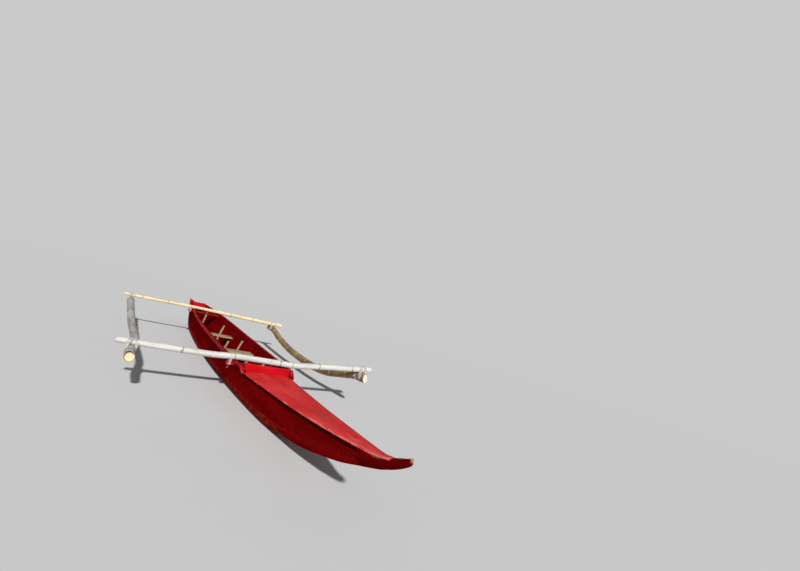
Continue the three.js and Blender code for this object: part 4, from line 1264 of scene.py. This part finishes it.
def bind_float(node, boom, pole, side):
    """Two crossed diagonal bindings: each goes over the boom and under the float."""
    low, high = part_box(node)
    middle_x, middle_y = (low.x + high.x) / 2, (low.y + high.y) / 2
    boom_z, pole_z = boom.centre(middle_y).z, pole.centre(middle_x).z
    boom_r, pole_r = boom.radius(middle_y), pole.radius(middle_x)
    paths = []
    for turn_way in (1, -1):
        path = []
        for n, share, angle in turns(FLOAT_TURNS):
            v = (share - 0.5) * FLOAT_BAND
            v += FLOAT_WANDER * noise.noise(Vector((n * 0.06, low.x * 9, low.y * 9 + turn_way)))
            out = CORD_ACROSS / 2
            ovals = [(turn_way * v, boom_z, boom_r / DIAGONAL + out, boom_r + out),
                     (-turn_way * v, pole_z, pole_r / DIAGONAL + out, pole_r + out)]
            which, p = farthest(ovals, angle)
            if turn_way < 0:
                past = (abs(p.x) - FLOAT_BAND / 2 - CROSSING_IN) / CROSSING_REACH
                out += CORD_ACROSS * (1 - min(1.0, max(0.0, past)))
            x = middle_x + p.x * DIAGONAL - v * turn_way * DIAGONAL
            y = middle_y + p.x * turn_way * DIAGONAL + v * DIAGONAL
            if which == 0:
                path.append(boom.on_skin(y, math.atan2(p.y - boom_z, x - middle_x), out))
            else:
                path.append(pole.on_skin(x, math.atan2(p.y - pole_z, y - middle_y), out))
        paths.append(path)
    paths[1] = loose_end(paths[1], FLOAT_END, side)
    cord_object(node, paths)


for end, boom in (("fore", fore_boom), ("aft", aft_boom)):
    for side_name, side in SIDES:
        pole = port_float if side_name == "port" else starboard_float
        bind_gunwale(f"{end}_lashing_{side_name}", boom, f"{end}_beam", side)
        bind_float(f"{end}_float_lashing_{side_name}", boom, pole, side)


# The nails: rows of small round heads along the edges of the planks, strakes, rails and decks,
# and four at each seat's end. They are painted over with the boards, and a few weep rust.
NAIL_ACROSS = 0.0072
NAIL_FLATNESS = 0.32
NAIL_VARIES = (0.86, 1.12)
NAIL_SEED = 7
NAIL_IN = 15
NAIL_ABOVE, DECK_NAIL_IN, DECK_LEAST_HALF = 8.0, 8.0, 50
NAIL_UNEVEN = 5
PLANK_INSET, STRAKE_INSET, RAIL_INSET, DECK_INSET = 20, 22, 25, 30
FOOT_SPACING, TOP_SPACING = 105, 130
STRAKE_SPACING, RAIL_SPACING, DECK_SPACING = 150, 190, 125
SEAT_NAILS_ALONG, SEAT_NAILS_IN = (-0.007, 0.008), (0.055, 0.12)
NAIL_RUST = (0.16, 0.055, 0.02)
BARE_IRON = (0.10, 0.085, 0.075)


# The node tree sets a low round head, square to the board, at every point.
heads_tree, heads_inputs, given = start_tree("nail_heads", Places="Geometry", Radius="Float",
                                             Material="Material")
ball = add(heads_tree, "GeometryNodeMeshUVSphere", {"Segments": 12, "Rings": 6, "Radius": given["Radius"]})
flat = add(heads_tree, "GeometryNodeTransform",
           {"Geometry": ball.outputs[0], "Scale": (1, 1, NAIL_FLATNESS)})
facing = add(heads_tree, "GeometryNodeInputNamedAttribute", {"Name": "facing"}, data_type="FLOAT_VECTOR")
turned = add(heads_tree, "FunctionNodeAlignRotationToVector", {"Vector": facing.outputs[0]}, axis="Z")
varied = add(heads_tree, "FunctionNodeRandomValue",
             {2: NAIL_VARIES[0], 3: NAIL_VARIES[1], "Seed": NAIL_SEED}, data_type="FLOAT")
heads = add(heads_tree, "GeometryNodeInstanceOnPoints", {
    "Points": given["Places"], "Instance": flat.outputs[0], "Rotation": turned.outputs[0],
    "Scale": varied.outputs[1]})
end_tree(heads_tree, heads, given["Material"])


def nail_paint(name, paint, rust_share):
    look = Look(name)
    here = look.place()
    cloud = look.noise(here, 260, 4)
    look.colour = look.mix(cloud, scaled(paint, 0.7), paint)
    rusty = cloud + look.noise(here, 9, 1) * 1.2
    look.coat(rusty.ramp(1.3 - rust_share, 1.4 - rust_share), NAIL_RUST)
    return look.finish(cloud * 0.3 + 0.5, cloud, 0.0003, 0.2)


def board_nails(board_name, near_spots):
    """The places and facings of nails at the points of a board nearest to the given ones."""
    board = bpy.data.objects[board_name]
    nearest = [board.closest_point_on_mesh(spot) for spot in near_spots]
    return [(at, facing) for found, at, facing, face in nearest if found]


def evenly(node, inset, spacing, seed):
    """Places along a board, a little uneven as hand-driven nails are, or at its ends alone."""
    low, high = (boat_x(corner.x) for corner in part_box(node))
    low, high = low + inset, high - inset
    if spacing is None:
        return [low, high]
    count = max(1, round((high - low) / spacing))
    return [low + (high - low) * k / count + NAIL_UNEVEN * noise.noise(Vector((k * 1.7, seed, 0.5)))
            for k in range(count + 1)]


def at_foot(tall):
    return NAIL_IN


def at_top(tall):
    return tall - NAIL_IN


def side_nails(lengths, form, least, rows):
    """Rows of nails along boards on both sides. A row gives the board, its corners, how far its
    nails start from the ends, their spacing, a seed, and how far up the outer face they sit.
    There are none where a board is less high than the least."""
    nails = []
    for side_name, side in SIDES:
        for length in lengths:
            for kind, corners_at, inset, spacing, seed, rise_of in rows:
                node = f"{kind}_{side_name}_{length}"
                spots = []
                for x in evenly(node, inset, spacing, side * seed):
                    foot, top = (Vector(corner) for corner in corners_at(hull_at(x))[:2])
                    tall = (top - foot).length
                    if tall >= least:
                        p = foot + (top - foot).normalized() * rise_of(tall)
                        spots.append(in_row(x, side * (p.x + NAIL_ABOVE), p.y))
                nails += board_nails(f"{node}_{form}", spots)
    return nails


def make_nails(name, nails, material, slot):
    mesh = bpy.data.meshes.new(name)
    mesh.from_pydata([tuple(at) for at, facing in nails], [], [])
    mesh.attributes.new("facing", "FLOAT_VECTOR", "POINT")
    mesh.attributes["facing"].data.foreach_set("vector", [v for at, facing in nails for v in facing])
    dress(made_by_tree(name, mesh, heads_tree, heads_inputs, Radius=NAIL_ACROSS / 2,
                       Material=material), slot)


bpy.context.view_layer.update()
hull_nails = side_nails(THREE_LENGTHS, "board", 2 * NAIL_IN, (
    ("side_plank", side_plank_corners, PLANK_INSET, FOOT_SPACING, 1, at_foot),
    ("side_plank", side_plank_corners, PLANK_INSET, TOP_SPACING, 2, at_top),
    ("side_plank", side_plank_corners, PLANK_INSET, None, 0, lambda tall: tall * 0.3),
    ("side_plank", side_plank_corners, PLANK_INSET, None, 0, lambda tall: tall * 0.5),
    ("side_plank", side_plank_corners, PLANK_INSET, None, 0, lambda tall: tall * 0.7),
    ("top_strake", strake_corners, STRAKE_INSET, STRAKE_SPACING, 3, at_foot),
))
make_nails("hull_nails", hull_nails, nail_paint("hull_red_nail", HULL_FADED, 0.25), "hull_paint")
rail_nails = side_nails(TWO_LENGTHS, "batten", 0, (
    ("gunwale_rail", rail_corners, RAIL_INSET, RAIL_SPACING, 4, lambda tall: tall * 0.5),
))
make_nails("rail_nails", rail_nails, nail_paint("rail_red_nail", RAIL_FADED, 0.3), "rail_paint")

deck_nails = []
for node in ("foredeck", "aftdeck"):
    for side in (1, -1):
        spots = []
        for x in evenly(node, DECK_INSET, DECK_SPACING, side * 5):
            s = hull_at(x)
            if HULL_AFT < x < HULL_FORE and s.deck_half > DECK_LEAST_HALF:
                spots.append(in_row(x, side * (s.deck_half - DECK_NAIL_IN), s.deck_z + NAIL_ABOVE))
        deck_nails += board_nails(f"{node}_board", spots)
make_nails("deck_nails", deck_nails, nail_paint("deck_red_nail", DECK_DEEP, 0.2), "deck_paint")

seat_nails = []
for node in ("seat_1", "seat_2"):
    low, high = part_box(node)
    middle_x = (low.x + high.x) / 2
    ys = [low.y + inset for inset in SEAT_NAILS_IN] + [high.y - inset for inset in reversed(SEAT_NAILS_IN)]
    spots = [Vector((middle_x + shift, y, high.z + 0.01)) for shift in SEAT_NAILS_ALONG for y in ys]
    seat_nails += board_nails(f"{node}_board", spots)
make_nails("seat_nails", seat_nails, nail_paint("rusty_nail", BARE_IRON, 0.7), "bare_wood")
